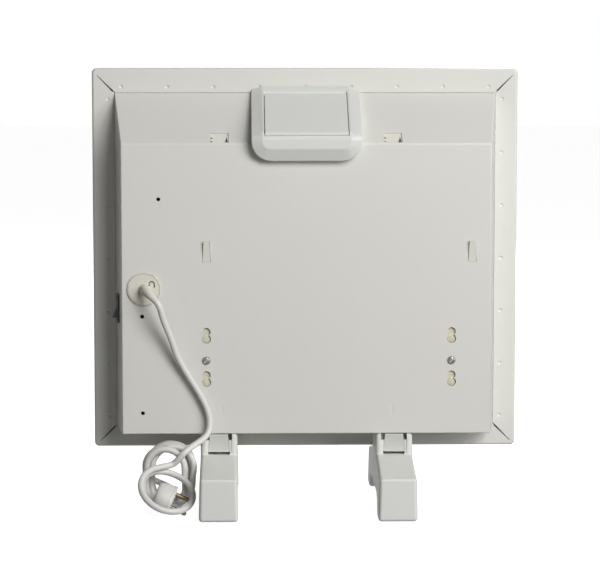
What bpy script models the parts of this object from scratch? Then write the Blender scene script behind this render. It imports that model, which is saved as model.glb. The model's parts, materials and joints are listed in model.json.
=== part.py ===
"""An electric convector heater on two clip-on feet, with its mains lead bundled beside one foot.

Metres, +Z up. The front faces -Y and the wall side faces +Y. The origin is on the floor, under the
middle of the feet.
"""

import math

import bmesh
import bpy
import numpy as np
from mathutils import Matrix, Vector

mm = 0.001
degree = math.pi / 180
ACROSS = Vector((1, 0, 0))
DEEP = Vector((0, 1, 0))
UP = Vector((0, 0, 1))
UPRIGHT_AXES = (ACROSS, DEEP, UP)

# Clearances and sheet metal
gap = 0.3 * mm
overrun = 2 * mm
sheet = 1 * mm
slack = 0.6 * mm

# Front panel: a shallow tray whose rim is folded in behind it
overall_height = 468 * mm
panel_width = 460 * mm
panel_depth = 20 * mm
panel_corner = 5 * mm
panel_edge = 2 * mm
panel_clearance = 56 * mm
flange_plane = -31.5 * mm
mitre_length = 30 * mm
mitre_slit = 1.2 * mm
clinch_pitch_across = 49.6 * mm
clinch_pitch_down = 57.6 * mm
clinch_inset_side = 17 * mm
clinch_inset_top = 20 * mm
clinch_radius = 2.4 * mm
clinch_depth = 0.5 * mm

# Outlet grille in the panel's front
outlet_width = 372 * mm
outlet_height = 30 * mm
outlet_below_top = 16 * mm
outlet_depth = 9 * mm
outlet_lip = 5 * mm
outlet_slot_height = 5 * mm
outlet_rows = 3
outlet_columns = 6
outlet_rib = 5 * mm

# Rear cover: a pan with a sloping top and a rim under the panel's flange
cover_half_width = 205.7 * mm
cover_taper = 9.2 * mm
cover_depth = 64 * mm
cover_lift = 24 * mm
cover_below_top = 27 * mm
cover_drop = 51 * mm
cover_rim = 18 * mm

# Openings in the rear cover, across from the middle and up from the cover's foot
hanger_left = 106.7 * mm
hanger_right = 154.8 * mm
keyhole_heights = (55.5 * mm, 102 * mm)
keyhole_step = 7.6 * mm
keyhole_radius = 4.5 * mm
keyhole_entry_radius = 4.9 * mm
shield_screw_height = 78.9 * mm
hook_offset = 92 * mm
hook_width = 19 * mm
hook_length = 15 * mm
hook_above_crease = 2 * mm
lance_places = ((106.2 * mm, 206.5 * mm), (-176.3 * mm, 206.5 * mm))
lance_height = 22 * mm
lance_width = 9 * mm
lance_slit = 0.9 * mm
pin_holes = ((157 * mm, 251.3 * mm), (174.9 * mm, 126.3 * mm), (174.6 * mm, 22.5 * mm))
pin_hole_radius = 1.65 * mm
inlet_slot = 6 * mm
inlet_length = 42 * mm
inlet_pitch = 14 * mm
inlet_first = 127 * mm
inlet_side_slots = 4
inlet_middle_slots = 7
loom_hole_width = 24 * mm
loom_hole_length = 14 * mm

# Heat shield behind the rear cover
shield_gap = 5.5 * mm
shield_left = 146 * mm
shield_right = 185 * mm
shield_foot = 8 * mm
shield_rise = 28 * mm
boss_radius = 6 * mm
screw_radius = 1.9 * mm
screw_head_radius = 4.2 * mm
screw_head_height = 2.2 * mm
screw_slot = 1 * mm
screw_slot_depth = 1.2 * mm
screw_length = 11 * mm

# Heating element
element_height = 58 * mm
element_forward = 4 * mm
element_radius = 4 * mm
element_overhang = 15 * mm
element_end_radius = 1.6 * mm
element_end = 12 * mm
hub_wall = 2 * mm
fin_end_clearance = 13.2 * mm
fin_pitch = 18 * mm
fin_depth = 38 * mm
fin_height = 46 * mm
fin_sheet = 1.2 * mm
bracket_inset = 70 * mm
bracket_depth = 46 * mm
bracket_head = 24 * mm
bracket_sheet = 1.5 * mm
bracket_foot = 14 * mm
bush_wall = 3 * mm
bush_flange = 2.5 * mm
bush_flange_depth = 2.5 * mm

# Thermal cut-out and terminal block
cutout_across = 60 * mm
cutout_height = 116 * mm
cutout_radius = 8 * mm
cutout_body = 6 * mm
cutout_cap_radius = 6 * mm
cutout_cap = 3 * mm
terminal_across = 172 * mm
terminal_height = 178 * mm
terminal_width = 33 * mm
terminal_tall = 16 * mm
terminal_deep = 14 * mm
terminal_bore = 2 * mm
terminal_ways = 3

# Control housing over the cover's sloping top
housing_half_width = 58.5 * mm
housing_top_half_width = 47 * mm
housing_rise = 7.5 * mm
housing_proud = 15 * mm
housing_rear_drop = 46 * mm
housing_face = 17.5 * mm
housing_skirt = 13 * mm
housing_base_corner = 21 * mm
housing_face_corner = 8 * mm
housing_corner_steps = 5
housing_wall = 2.5 * mm
housing_bevel = 5 * mm

# Lid over the controls
lid_half_width = 43.9 * mm
lid_side_gap = 0.9 * mm
lid_wall = 2.2 * mm
lid_skirt = 3 * mm
lid_pin_radius = 1.5 * mm
lid_pin_depth = 3.4 * mm
lid_pin_back = 15 * mm
lid_pin_seat = 3.5 * mm
lid_lug_width = 7 * mm
lid_lug_inset = 16 * mm
lid_open = 105 * degree
lid_roll_steps = 4

# Controls on the deck under the lid
deck_depth = 8 * mm
deck_front = 30 * mm
deck_wall = 2 * mm
knob_radius = 15 * mm
knob_height = 4.5 * mm
knob_grip_radius = 12.5 * mm
knob_across = 6 * mm
shaft_radius = 3 * mm
button_radius = 4 * mm
button_height = 2.5 * mm
button_stem = 0.6 * mm
mode_across = -19 * mm
power_across = -31 * mm
lens_across = 31 * mm
lens_radius = 2.5 * mm
lens_height = 1 * mm
board_width = 70 * mm
board_depth = 30 * mm
board_back = 66 * mm
board_sheet = 1.6 * mm
board_drop = 1.6 * mm
board_room = 14 * mm

# Rocker switch in the cover's side
switch_height = 132 * mm
switch_tall = 31 * mm
switch_deep = 15 * mm
switch_bezel = 1.8 * mm
switch_body_tall = 27 * mm
switch_body_deep = 11.6 * mm
switch_body_length = 20 * mm
rocker_tall = 24 * mm
rocker_deep = 9.4 * mm
rocker_thick = 4 * mm
rocker_low = 7.5 * mm
rocker_high = 1.2 * mm
rocker_sink = 5 * mm
rocker_inset = 1.1 * mm

# Feet
foot_place = 93.6 * mm
foot_width = 41.4 * mm
foot_length = 229 * mm
foot_round = 2.4 * mm
toe_rear_height = 45 * mm
toe_front_height = 42 * mm
foot_crown = 57.5 * mm
foot_front_crown = 52 * mm
foot_pad = 30 * mm
arch_height = 19 * mm
arch_splay = 9 * mm
arch_shoulder = 14 * mm
foot_rail_proud = 2 * mm
pocket_depth = 24 * mm
pocket_shoulder = 13.9 * mm
pocket_shoulder_height = 7 * mm
pocket_recess = 1.2 * mm
hook_tab_width = 12 * mm
hook_tab_sheet = 3 * mm
hook_tab_height = 6 * mm
hook_tab_forward = 14 * mm

# Foot latches
latch_gap = 0.4 * mm
latch_top_half_width = 9.7 * mm
latch_foot_half_width = 11.3 * mm
latch_thick = 3 * mm
latch_lift = 2.8 * mm
latch_axle_in = 4.4 * mm
latch_axle_drop = 11 * mm
latch_barrel_radius = 2.2 * mm
latch_web_half_width = 5 * mm

# Cable disc, boot and the lead itself
cord_diameter = 6.8 * mm
gland_across = 172.7 * mm
gland_height = 155.6 * mm
gland_radius = 18 * mm
gland_flange = 1.5 * mm
gland_barrel_radius = 14.5 * mm
gland_barrel = 8 * mm
boot_root_radius = 5.4 * mm
boot_tip_radius = 4.1 * mm
boot_knee = Vector((170.5 * mm, 49 * mm, 236 * mm))
boot_tip = Vector((162.5 * mm, 53.5 * mm, 228 * mm))
boot_ring_count = 6

# The lead's free run, down the cover's rear face and over to the bundle
run_route = (
    (152.5 * mm, 53.5 * mm, 208.2 * mm),
    (145.1 * mm, 47 * mm, 187.5 * mm),
    (137.5 * mm, 41.5 * mm, 165.2 * mm),
    (126.6 * mm, 38.5 * mm, 144.6 * mm),
    (114.2 * mm, 37.8 * mm, 124.2 * mm),
    (106.5 * mm, 37.8 * mm, 108.5 * mm),
    (103.4 * mm, 38.8 * mm, 93 * mm),
    (106 * mm, 43 * mm, 81.5 * mm),
    (113.5 * mm, 49.5 * mm, 75 * mm),
    (123 * mm, 56 * mm, 69.5 * mm),
    (132.5 * mm, 61.2 * mm, 62 * mm),
)
run_point_count = 22

# The bundle: a slanting ring of cord in front, then tall loops behind it
bundle_across = 146.9 * mm
bundle_deep = 88 * mm
ring_half_width = 28.4 * mm
ring_half_height = 16.5 * mm
ring_tilt = 25 * mm
ring_centre = 32 * mm
ring_lean = 18 * degree
ring_turns = 0.85
fade_turns = 0.9
first_turn_share = 0.33
last_turn_share = 0.45
tall_loops = 6
loop_pitch = 8.3 * mm
tall_radius = 21.5 * mm
tall_straight = 9.5 * mm
tall_centre = 36 * mm
fan_out = 4 * mm
fan_rate_share = 0.42
swell_share = 0.04
swell_rate_share = 0.37
lean_angle = 5.7 * degree
lean_rate_share = 0.29
loop_point_count = 24
tail_steps = (
    (-1.0 * mm, -1.2 * mm, -9.2 * mm),
    (1.3 * mm, -2.8 * mm, -15.6 * mm),
    (5.9 * mm, -3.8 * mm, -20.0 * mm),
    (11.8 * mm, -2.9 * mm, -22.8 * mm),
    (17.9 * mm, 1.0 * mm, -24.7 * mm),
    (23.1 * mm, 9.2 * mm, -26.2 * mm),
    (23.7 * mm, 17.6 * mm, -26.3 * mm),
    (21.8 * mm, 25.6 * mm, -25.6 * mm),
    (19.3 * mm, 32.6 * mm, -24.8 * mm),
    (18.0 * mm, 38.1 * mm, -24.4 * mm),
)

# Plug with two round pins, its lead leaving sideways
plug_radius_tall = 16.5 * mm
plug_radius_deep = 14 * mm
plug_thick = 19 * mm
plug_centre = Vector((150.9 * mm, 85.5 * mm, 22.2 * mm))
plug_dip = 25 * degree
plug_roll = 52 * degree
plug_neck_radius = 5.5 * mm
plug_neck = 8 * mm
pin_radius = 2.4 * mm
pin_length = 19 * mm
pin_spacing = 19 * mm

# Places worked out from the sizes above
panel_top = overall_height
panel_height = overall_height - panel_clearance
bracket_place = panel_width / 2 - bracket_inset
element_length = 2 * (bracket_place + element_overhang)
fins_half = bracket_place - gap - bush_flange_depth - fin_end_clearance
fin_count = round(2 * fins_half / fin_pitch)
panel_front = flange_plane - panel_depth
cover_bottom = panel_clearance + cover_lift
cover_top = overall_height - cover_below_top
cover_back = flange_plane + cover_depth
cover_crease = cover_top - cover_drop
rim_back = flange_plane - sheet - gap
rim_front = rim_back - sheet
slope_length = math.hypot(cover_depth, cover_drop)
slope_up = Vector((0, -cover_depth / slope_length, cover_drop / slope_length))
slope_out = Vector((0, cover_drop / slope_length, cover_depth / slope_length))
shield_back = cover_back - sheet - shield_gap
shield_front = shield_back - sheet
element_y = (shield_front + panel_front) / 2 + element_forward
element_z = cover_bottom + element_height
housing_top = cover_top + housing_rise
housing_back = cover_back + housing_proud
housing_top_length = housing_back - flange_plane
top_length = math.hypot(housing_top_length, housing_rear_drop)
top_back = Vector((0, housing_top_length / top_length, -housing_rear_drop / top_length))
top_out = Vector((0, housing_rear_drop / top_length, housing_top_length / top_length))
housing_front = flange_plane + gap
housing_front_edge = Vector((0, housing_front, housing_top))
lid_axis = housing_front_edge + top_back * lid_pin_back - top_out * lid_pin_depth
deck_middle = (deck_front + top_length - housing_wall) / 2
wall_lean = math.atan2(cover_taper, cover_depth)
switch_out = Vector((math.cos(wall_lean), math.sin(wall_lean), 0))
switch_along = Vector((-math.sin(wall_lean), math.cos(wall_lean), 0))
wall_middle = cover_half_width - cover_taper / 2
switch_place = Vector((wall_middle, flange_plane + cover_depth / 2, cover_bottom + switch_height))
gland_place = Vector((gland_across, cover_back, cover_bottom + gland_height))
plug_out = Vector((-math.cos(plug_dip), 0, -math.sin(plug_dip)))
plug_level = Vector((-math.sin(plug_dip), 0, math.cos(plug_dip)))
plug_up = plug_level * math.cos(plug_roll) - DEEP * math.sin(plug_roll)
plug_side = plug_level * math.sin(plug_roll) + DEEP * math.cos(plug_roll)

# Colour, roughness and metallic value of each finish
FINISHES = {
    "white_enamel": ((0.62, 0.61, 0.57), 0.42, 0.0),
    "white_plastic": ((0.63, 0.64, 0.60), 0.50, 0.0),
    "cream_plastic": ((0.60, 0.57, 0.43), 0.50, 0.0),
    "black_plastic": ((0.02, 0.02, 0.02), 0.35, 0.0),
    "white_cable": ((0.60, 0.59, 0.55), 0.48, 0.0),
    "aluminium": ((0.72, 0.73, 0.74), 0.35, 1.0),
    "steel": ((0.56, 0.57, 0.58), 0.32, 1.0),
    "brass": ((0.66, 0.52, 0.28), 0.30, 1.0),
    "ceramic": ((0.75, 0.72, 0.66), 0.60, 0.0),
    "circuit_board": ((0.03, 0.16, 0.07), 0.45, 0.0),
    "lens_red": ((0.55, 0.05, 0.03), 0.15, 0.0),
}


def clear_scene():
    for thing in list(bpy.data.objects):
        bpy.data.objects.remove(thing, do_unlink=True)


def finish(name):
    """The named finish as a material, made once."""
    found = bpy.data.materials.get(name)
    if found:
        return found
    colour, roughness, metallic = FINISHES[name]
    material = bpy.data.materials.new(name)
    material.use_nodes = True
    shader = material.node_tree.nodes["Principled BSDF"]
    shader.inputs["Base Color"].default_value = (*colour, 1)
    shader.inputs["Roughness"].default_value = roughness
    shader.inputs["Metallic"].default_value = metallic
    return material


def loft(form, sections):
    """Adds a closed body through loops of points, each with as many points as the next."""
    loops = [[form.verts.new(point) for point in section] for section in sections]
    count = len(loops[0])
    form.faces.new(loops[0][::-1])
    form.faces.new(loops[-1])
    for lower, upper in zip(loops, loops[1:]):
        for i in range(count):
            j = (i + 1) % count
            form.faces.new((lower[i], lower[j], upper[j], upper[i]))


def block(form, low, high, origin=Vector(), axes=UPRIGHT_AXES):
    """Adds a box between two corners, given along the axes from the origin."""
    def at(x, y, z):
        return origin + axes[0] * x + axes[1] * y + axes[2] * z

    flat = ((low[0], low[1]), (high[0], low[1]), (high[0], high[1]), (low[0], high[1]))
    loft(form, [[at(x, y, z) for x, y in flat] for z in (low[2], high[2])])


def side_axes(axis):
    """Two directions square to the axis and to each other."""
    first = UP if abs(axis.z) < abs(axis.y) + abs(axis.x) else ACROSS
    across = first.cross(axis).normalized()
    return across, axis.cross(across).normalized()


def turned(form, origin, axis, profile, sides):
    """Adds a turned body: its profile is a list of (distance along the axis, radius)."""
    across, away = side_axes(axis)
    angles = [2 * math.pi * i / sides for i in range(sides)]
    loft(form, [
        [origin + axis * along + (across * math.cos(a) + away * math.sin(a)) * radius for a in angles]
        for along, radius in profile
    ])


def rod(form, start, axis, length, radius, sides=12):
    turned(form, start, axis, ((0, radius), (length, radius)), sides)


def rounded_outline(half_width, low, high, corner, steps=3):
    """Corner points of an upright rounded rectangle, as (x, z)."""
    points = []
    for x, z, start in (
        (half_width - corner, high - corner, 0),
        (corner - half_width, high - corner, 1),
        (corner - half_width, low + corner, 2),
        (half_width - corner, low + corner, 3),
    ):
        for i in range(steps + 1):
            angle = (start + i / steps) * math.pi / 2
            points.append((x + corner * math.cos(angle), z + corner * math.sin(angle)))
    return points


def extrude_across(form, outline, low, high):
    """Adds a prism along X from an outline of (y, z) points."""
    loft(form, [[Vector((x, y, z)) for y, z in outline] for x in (low, high)])


def cover_block(form, grow, front):
    """Adds the pan's outer form, its walls moved out by grow, from the given front plane."""
    side_slant = math.hypot(cover_depth, cover_taper) / cover_depth
    top_slant = slope_length / cover_depth

    def section(y):
        along = y - flange_plane
        half = cover_half_width - cover_taper * along / cover_depth + grow * side_slant
        top = cover_top - cover_drop * along / cover_depth + grow * top_slant
        low = cover_bottom - grow
        return [Vector(p) for p in ((-half, y, low), (half, y, low), (half, y, top), (-half, y, top))]

    loft(form, [section(front), section(cover_back + grow)])


def new_object(name, form):
    bmesh.ops.recalc_face_normals(form, faces=form.faces[:])
    mesh = bpy.data.meshes.new(name)
    form.to_mesh(mesh)
    form.free()
    thing = bpy.data.objects.new(name, mesh)
    bpy.context.scene.collection.objects.link(thing)
    return thing


def form_of(*makers):
    """One mesh form holding what each maker adds; a maker is a function with its values."""
    form = bmesh.new()
    for maker, *values in makers:
        maker(form, *values)
    return form


def node(name, material, form, smooth=True):
    """A named piece in its finish."""
    thing = new_object(name, form)
    thing.data.materials.append(finish(material))
    if smooth:
        thing.data.shade_smooth()
        thing.data.set_sharp_from_angle(angle=32 * degree)
    return thing


def combine(thing, operation, form, label):
    """Cuts the form out of a piece, or joins it on; the form stays as a hidden guide."""
    tool = new_object(f"{thing.name}_{label}", form)
    tool.hide_render = True
    tool.display_type = "WIRE"
    step = thing.modifiers.new(label, "BOOLEAN")
    step.operation = operation
    step.solver = "EXACT"
    step.object = tool


def cut(thing, form, label="cut"):
    combine(thing, "DIFFERENCE", form, label)


def join(thing, form, label="join"):
    combine(thing, "UNION", form, label)


def pivot(thing, place, axes=UPRIGHT_AXES):
    """Moves a piece's origin onto its joint, leaving its shape where it is."""
    turn = Matrix((axes[0], axes[1], axes[2])).transposed().to_4x4()
    seat = Matrix.Translation(place) @ turn
    thing.data.transform(seat.inverted())
    thing.matrix_world = seat


def slope_point(x, up):
    """A point on the cover's sloping top, so far up from the crease."""
    return Vector((x, cover_back, cover_crease)) + slope_up * up


def deck_point(x, back, out=0.0):
    """A point on the housing's top plane, back from its front edge and out from it."""
    return housing_front_edge + ACROSS * x + top_back * back + top_out * out


def build_front_panel():
    full = rounded_outline(panel_width / 2, panel_clearance, panel_top, panel_corner)
    eased = rounded_outline(
        panel_width / 2 - panel_edge,
        panel_clearance + panel_edge,
        panel_top - panel_edge,
        panel_corner - panel_edge / 2,
    )
    shoulder = panel_front + panel_edge
    sections = ((panel_front, eased), (shoulder, full), (flange_plane, full))
    form = form_of((loft, [[Vector((x, y, z)) for x, z in outline] for y, outline in sections]))
    panel = node("front_panel", "white_enamel", form)
    half = panel_width / 2 - sheet
    inside = rounded_outline(half, panel_clearance + sheet, panel_top - sheet, panel_corner - sheet)
    shrink = panel_edge * 0.6
    low = panel_clearance + sheet + shrink
    high = panel_top - sheet - shrink
    inside_front = rounded_outline(half - shrink, low, high, panel_corner - sheet - shrink / 2)
    depths = (
        (panel_front + sheet, inside_front),
        (panel_front + sheet + shrink, inside),
        (flange_plane - sheet, inside),
    )
    cut(panel, form_of((loft, [[Vector((x, y, z)) for x, z in ring] for y, ring in depths])), "hollow")

    openings = bmesh.new()
    opening_half = cover_half_width + gap
    low = (-opening_half, flange_plane - sheet - overrun, cover_bottom - gap)
    opening_top = cover_top + cover_drop * sheet / cover_depth + gap
    high = (opening_half, flange_plane + overrun, opening_top)
    block(openings, low, high)
    outlet_top = panel_top - outlet_below_top
    low = (-outlet_width / 2, panel_front - overrun, outlet_top - outlet_height)
    high = (outlet_width / 2, panel_front + sheet + overrun, outlet_top)
    block(openings, low, high)
    cut(panel, openings, "openings")

    slits = bmesh.new()
    for side in (-1, 1):
        for corner_z, way in ((cover_bottom - gap, -1), (opening_top, 1)):
            along = Vector((side, 0, way)).normalized()
            across = along.cross(DEEP)
            corner = Vector((side * opening_half, flange_plane, corner_z))
            low = (-overrun, -sheet - overrun / 2, -mitre_slit / 2)
            high = (mitre_length, overrun, mitre_slit / 2)
            block(slits, low, high, corner, (along, DEEP, across))
    cut(panel, slits, "mitres")
    cut(panel, clinch_marks(), "clinches")


def clinch_marks():
    """Shallow round marks where the panel's flange is clinched to the cover's rim."""
    marks = bmesh.new()
    middle = panel_clearance + panel_height / 2
    places = []
    for i in range(9):
        x = (i - 4) * clinch_pitch_across
        places += [(x, panel_top - clinch_inset_top), (x, panel_clearance + clinch_inset_top)]
    for i in range(7):
        z = middle + (i - 3) * clinch_pitch_down
        places += [(s * (panel_width / 2 - clinch_inset_side), z) for s in (-1, 1)]
    start = flange_plane - clinch_depth
    wide = clinch_radius + overrun
    for x, z in places:
        profile = ((0, clinch_radius), (clinch_depth + overrun, wide))
        turned(marks, Vector((x, start, z)), DEEP, profile, 6)
    return marks


def build_outlet_grille():
    outlet_top = panel_top - outlet_below_top
    half = outlet_width / 2 - gap
    back = panel_front + outlet_depth
    low_z = outlet_top - outlet_height
    seat = panel_front + sheet + gap
    form = form_of((block, (-half, panel_front + gap, low_z + gap), (half, back, outlet_top - gap)))
    grille = node("outlet_grille", "white_enamel", form, smooth=False)
    lip = outlet_width / 2 + outlet_lip
    low = (-lip, seat, low_z - outlet_lip)
    high = (lip, seat + sheet, outlet_top + outlet_lip)
    join(grille, form_of((block, low, high)), "lip")
    slots = bmesh.new()
    pitch = (outlet_width - outlet_rib) / outlet_columns
    row_pitch = outlet_height / outlet_rows
    for column in range(outlet_columns):
        left = -outlet_width / 2 + outlet_rib + column * pitch
        for row in range(outlet_rows):
            middle = low_z + (row + 0.5) * row_pitch
            low = (left, panel_front - overrun, middle - outlet_slot_height / 2)
            high = (left + pitch - outlet_rib, back + overrun, middle + outlet_slot_height / 2)
            block(slots, low, high)
    cut(grille, slots, "slots")


def build_rear_cover():
    rim_half = cover_half_width + cover_rim
    low = (-rim_half, rim_front, cover_bottom - cover_rim)
    high = (rim_half, rim_back, cover_top + cover_rim)
    cover = node("rear_cover", "white_enamel", form_of((block, low, high)), smooth=False)
    join(cover, form_of((cover_block, 0, rim_front)), "pan")
    cut(cover, form_of((cover_block, -sheet, rim_front - overrun)), "hollow")

    holes = bmesh.new()
    lower = bmesh.new()
    start = cover_back - sheet - overrun
    through = sheet + 2 * overrun
    for x in (hanger_left, -hanger_right):
        screw = Vector((x, start, cover_bottom + shield_screw_height))
        rod(holes, screw, DEEP, through, screw_radius + gap)
        for height in keyhole_heights:
            place = Vector((x, start, cover_bottom + height))
            rod(lower, place, DEEP, through, keyhole_entry_radius)
            rod(holes, place + UP * keyhole_step, DEEP, through, keyhole_radius)
    for x, height in pin_holes:
        rod(holes, Vector((x, start, cover_bottom + height)), DEEP, through, pin_hole_radius, 8)
    rod(holes, gland_place - DEEP * (sheet + overrun), DEEP, through, gland_barrel_radius + gap, 20)
    slope_axes = (ACROSS, slope_up, slope_out)
    for side in (-1, 1):
        place = slope_point(side * hook_offset, hook_above_crease)
        low = (-hook_width / 2, 0, -sheet - overrun)
        block(holes, low, (hook_width / 2, hook_length, overrun), place, slope_axes)
    place = slope_point(0, slope_length / 2)
    low = (-loom_hole_width / 2, 0, -sheet - overrun)
    block(holes, low, (loom_hole_width / 2, loom_hole_length, overrun), place, slope_axes)
    for x, height in lance_places:
        lance_slits(holes, x, cover_bottom + height, start, through)
    low = (-switch_body_deep / 2 - gap, -switch_body_tall / 2 - gap, -sheet - overrun)
    high = (switch_body_deep / 2 + gap, switch_body_tall / 2 + gap, overrun)
    block(holes, low, high, switch_place, (switch_along, UP, switch_out))
    inlet_slots(holes)
    for side in (-1, 1):
        low, high = hook_tab_box(side * foot_place)
        spread = Vector((slack, slack, 0))
        block(holes, low - spread, high + spread)
    cut(cover, holes, "holes")
    cut(cover, lower, "keyhole_entries")


def lance_slits(form, x, top, start, through):
    """The three-sided slit round a tongue left standing in the sheet."""
    outer = lance_width / 2
    inner = outer - lance_slit
    bottom = top - lance_height
    outline = (
        (-outer, top),
        (-outer, bottom),
        (outer, bottom),
        (outer, top),
        (inner, top),
        (inner, bottom + lance_slit),
        (-inner, bottom + lance_slit),
        (-inner, top),
    )
    loft(form, [[Vector((x + u, y, z)) for u, z in outline] for y in (start, start + through)])


def inlet_slots(form):
    middle = flange_plane + cover_depth / 2
    places = [(i - (inlet_middle_slots - 1) / 2) * inlet_pitch for i in range(inlet_middle_slots)]
    for i in range(inlet_side_slots):
        places += [side * (inlet_first + i * inlet_pitch) for side in (-1, 1)]
    for x in places:
        low = (x - inlet_slot / 2, middle - inlet_length / 2, cover_bottom - overrun)
        high = (x + inlet_slot / 2, middle + inlet_length / 2, cover_bottom + sheet + overrun)
        block(form, low, high)


def hook_tab_box(x):
    """The corners of the tab on a foot that reaches up into the cover's floor."""
    y = flange_plane + hook_tab_forward
    low = Vector((x - hook_tab_width / 2, y, cover_bottom - overrun))
    high = Vector((x + hook_tab_width / 2, y + hook_tab_sheet, cover_bottom + hook_tab_height))
    return low, high


def build_heat_shield():
    foot = cover_bottom + sheet + shield_foot
    slope_offset = shield_gap + sheet
    bend = cover_crease - slope_offset * (slope_length - cover_drop) / cover_depth
    up = slope_up * shield_rise
    outer = [(shield_back, foot), (shield_back, bend), (shield_back + up.y, bend + up.z)]
    inner_bend = bend - sheet * (slope_length - cover_drop) / cover_depth
    tip = (shield_back + up.y - slope_out.y * sheet, bend + up.z - slope_out.z * sheet)
    outline = outer + [tip, (shield_front, inner_bend), (shield_front, foot)]
    form = form_of((extrude_across, outline, -shield_right, shield_left))
    shield = node("heat_shield", "cream_plastic", form, smooth=False)
    bosses = bmesh.new()
    bores = bmesh.new()
    reach = cover_back - sheet - gap - shield_front
    for x in (hanger_left, -hanger_right):
        place = Vector((x, shield_front, cover_bottom + shield_screw_height))
        rod(bosses, place, DEEP, reach, boss_radius)
        rod(bores, place - DEEP * overrun, DEEP, reach + 2 * overrun, screw_radius + gap)
    join(shield, bosses, "bosses")
    cut(shield, bores, "bores")
    for name, x in (("shield_screw_left", hanger_left), ("shield_screw_right", -hanger_right)):
        build_screw(name, Vector((x, cover_back + gap, cover_bottom + shield_screw_height)))


def build_screw(name, place):
    """A slotted screw whose head sits on the cover, its shank running in towards the front."""
    dome = screw_head_height / 3
    profile = (
        (-screw_length, screw_radius - gap),
        (0, screw_radius - gap),
        (0, screw_head_radius),
        (screw_head_height - dome, screw_head_radius),
        (screw_head_height, screw_head_radius - dome),
    )
    screw = node(name, "steel", form_of((turned, place, DEEP, profile, 12)))
    low = (-screw_slot / 2, screw_head_height - screw_slot_depth, -screw_head_radius - overrun)
    high = (screw_slot / 2, screw_head_height + overrun, screw_head_radius + overrun)
    slant = Matrix.Rotation(40 * degree, 3, DEEP)
    axes = (slant @ ACROSS, DEEP, slant @ UP)
    cut(screw, form_of((block, low, high, place, axes)), "slot")


def build_heating_element():
    middle = Vector((0, element_y, element_z))
    half = element_length / 2
    profile = (
        (-half - element_end, element_end_radius),
        (-half, element_end_radius),
        (-half, element_radius),
        (half, element_radius),
        (half, element_end_radius),
        (half + element_end, element_end_radius),
    )
    node("heating_element", "steel", form_of((turned, middle, ACROSS, profile, 12)))

    hub_radius = element_radius + gap + hub_wall
    hub = form_of((rod, middle - ACROSS * fins_half, ACROSS, 2 * fins_half, hub_radius, 8))
    fins = node("element_fins", "aluminium", hub, smooth=False)
    plates = bmesh.new()
    for i in range(fin_count):
        x = (i - (fin_count - 1) / 2) * fin_pitch
        low = (x - fin_sheet / 2, -fin_depth / 2, -fin_height / 2)
        block(plates, low, (x + fin_sheet / 2, fin_depth / 2, fin_height / 2), middle)
    join(fins, plates, "plates")
    reach = fins_half + overrun
    bore = form_of((rod, middle - ACROSS * reach, ACROSS, 2 * reach, element_radius + gap, 12))
    cut(fins, bore, "bore")
    for name, side in (("left", 1), ("right", -1)):
        build_bracket(name, side, middle)


def build_bracket(name, side, middle):
    """An upright plate on the cover's floor that holds one end of the element in a bush."""
    bush_radius = element_radius + gap + bush_wall
    inner = side * bracket_place
    outer = inner + side * bracket_sheet
    floor = cover_bottom + sheet + gap
    low = (min(inner, outer), element_y - bracket_depth / 2, floor)
    high = (max(inner, outer), element_y + bracket_depth / 2, element_z + bracket_head)
    bracket = node(f"element_bracket_{name}", "steel", form_of((block, low, high)), smooth=False)
    tip = inner + side * bracket_foot
    start = inner + side * bracket_sheet / 2
    low = (min(start, tip), element_y - bracket_depth / 2, floor)
    high = (max(start, tip), element_y + bracket_depth / 2, floor + bracket_sheet)
    join(bracket, form_of((block, low, high)), "foot")
    start = Vector((min(inner, outer) - overrun, middle.y, middle.z))
    length = bracket_sheet + 2 * overrun
    cut(bracket, form_of((rod, start, ACROSS, length, bush_radius + gap, 12)), "hole")

    way = ACROSS * side
    place = Vector((inner, middle.y, middle.z)) - way * (gap + bush_flange_depth)
    profile = (
        (0, bush_radius + bush_flange),
        (bush_flange_depth, bush_radius + bush_flange),
        (bush_flange_depth, bush_radius),
        (2 * bush_flange_depth + bracket_sheet, bush_radius),
    )
    bush = node(f"element_bush_{name}", "ceramic", form_of((turned, place, way, profile, 12)))
    length = 2 * bush_flange_depth + bracket_sheet + 2 * overrun
    cut(bush, form_of((rod, place - way * overrun, way, length, element_radius + gap, 12)), "bore")


def build_cutout_and_terminals():
    place = Vector((cutout_across, shield_front - gap, cover_bottom + cutout_height))
    profile = (
        (0, cutout_radius),
        (cutout_body, cutout_radius),
        (cutout_body, cutout_cap_radius),
        (cutout_body + cutout_cap, cutout_cap_radius),
    )
    node("thermal_cutout", "ceramic", form_of((turned, place, -DEEP, profile, 14)))

    back = cover_back - sheet - gap
    low = Vector((
        terminal_across - terminal_width / 2,
        back - terminal_deep,
        cover_bottom + terminal_height,
    ))
    high = low + Vector((terminal_width, terminal_deep, terminal_tall))
    terminals = node("terminal_block", "ceramic", form_of((block, low, high)), smooth=False)
    bores = bmesh.new()
    pitch = terminal_width / terminal_ways
    for i in range(terminal_ways):
        place = low + Vector(((i + 0.5) * pitch, terminal_deep / 2, -overrun))
        rod(bores, place, UP, terminal_tall + 2 * overrun, terminal_bore, 8)
    cut(terminals, bores, "bores")


def housing_outline(half, low, high, corner):
    """Square at the top and round at the bottom corners, as (x, z)."""
    points = [(half, high), (-half, high)]
    for x, start in ((corner - half, math.pi), (half - corner, -math.pi / 2)):
        for i in range(housing_corner_steps + 1):
            angle = start + i / housing_corner_steps * math.pi / 2
            points.append((x + corner * math.cos(angle), low + corner + corner * math.sin(angle)))
    return points


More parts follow.
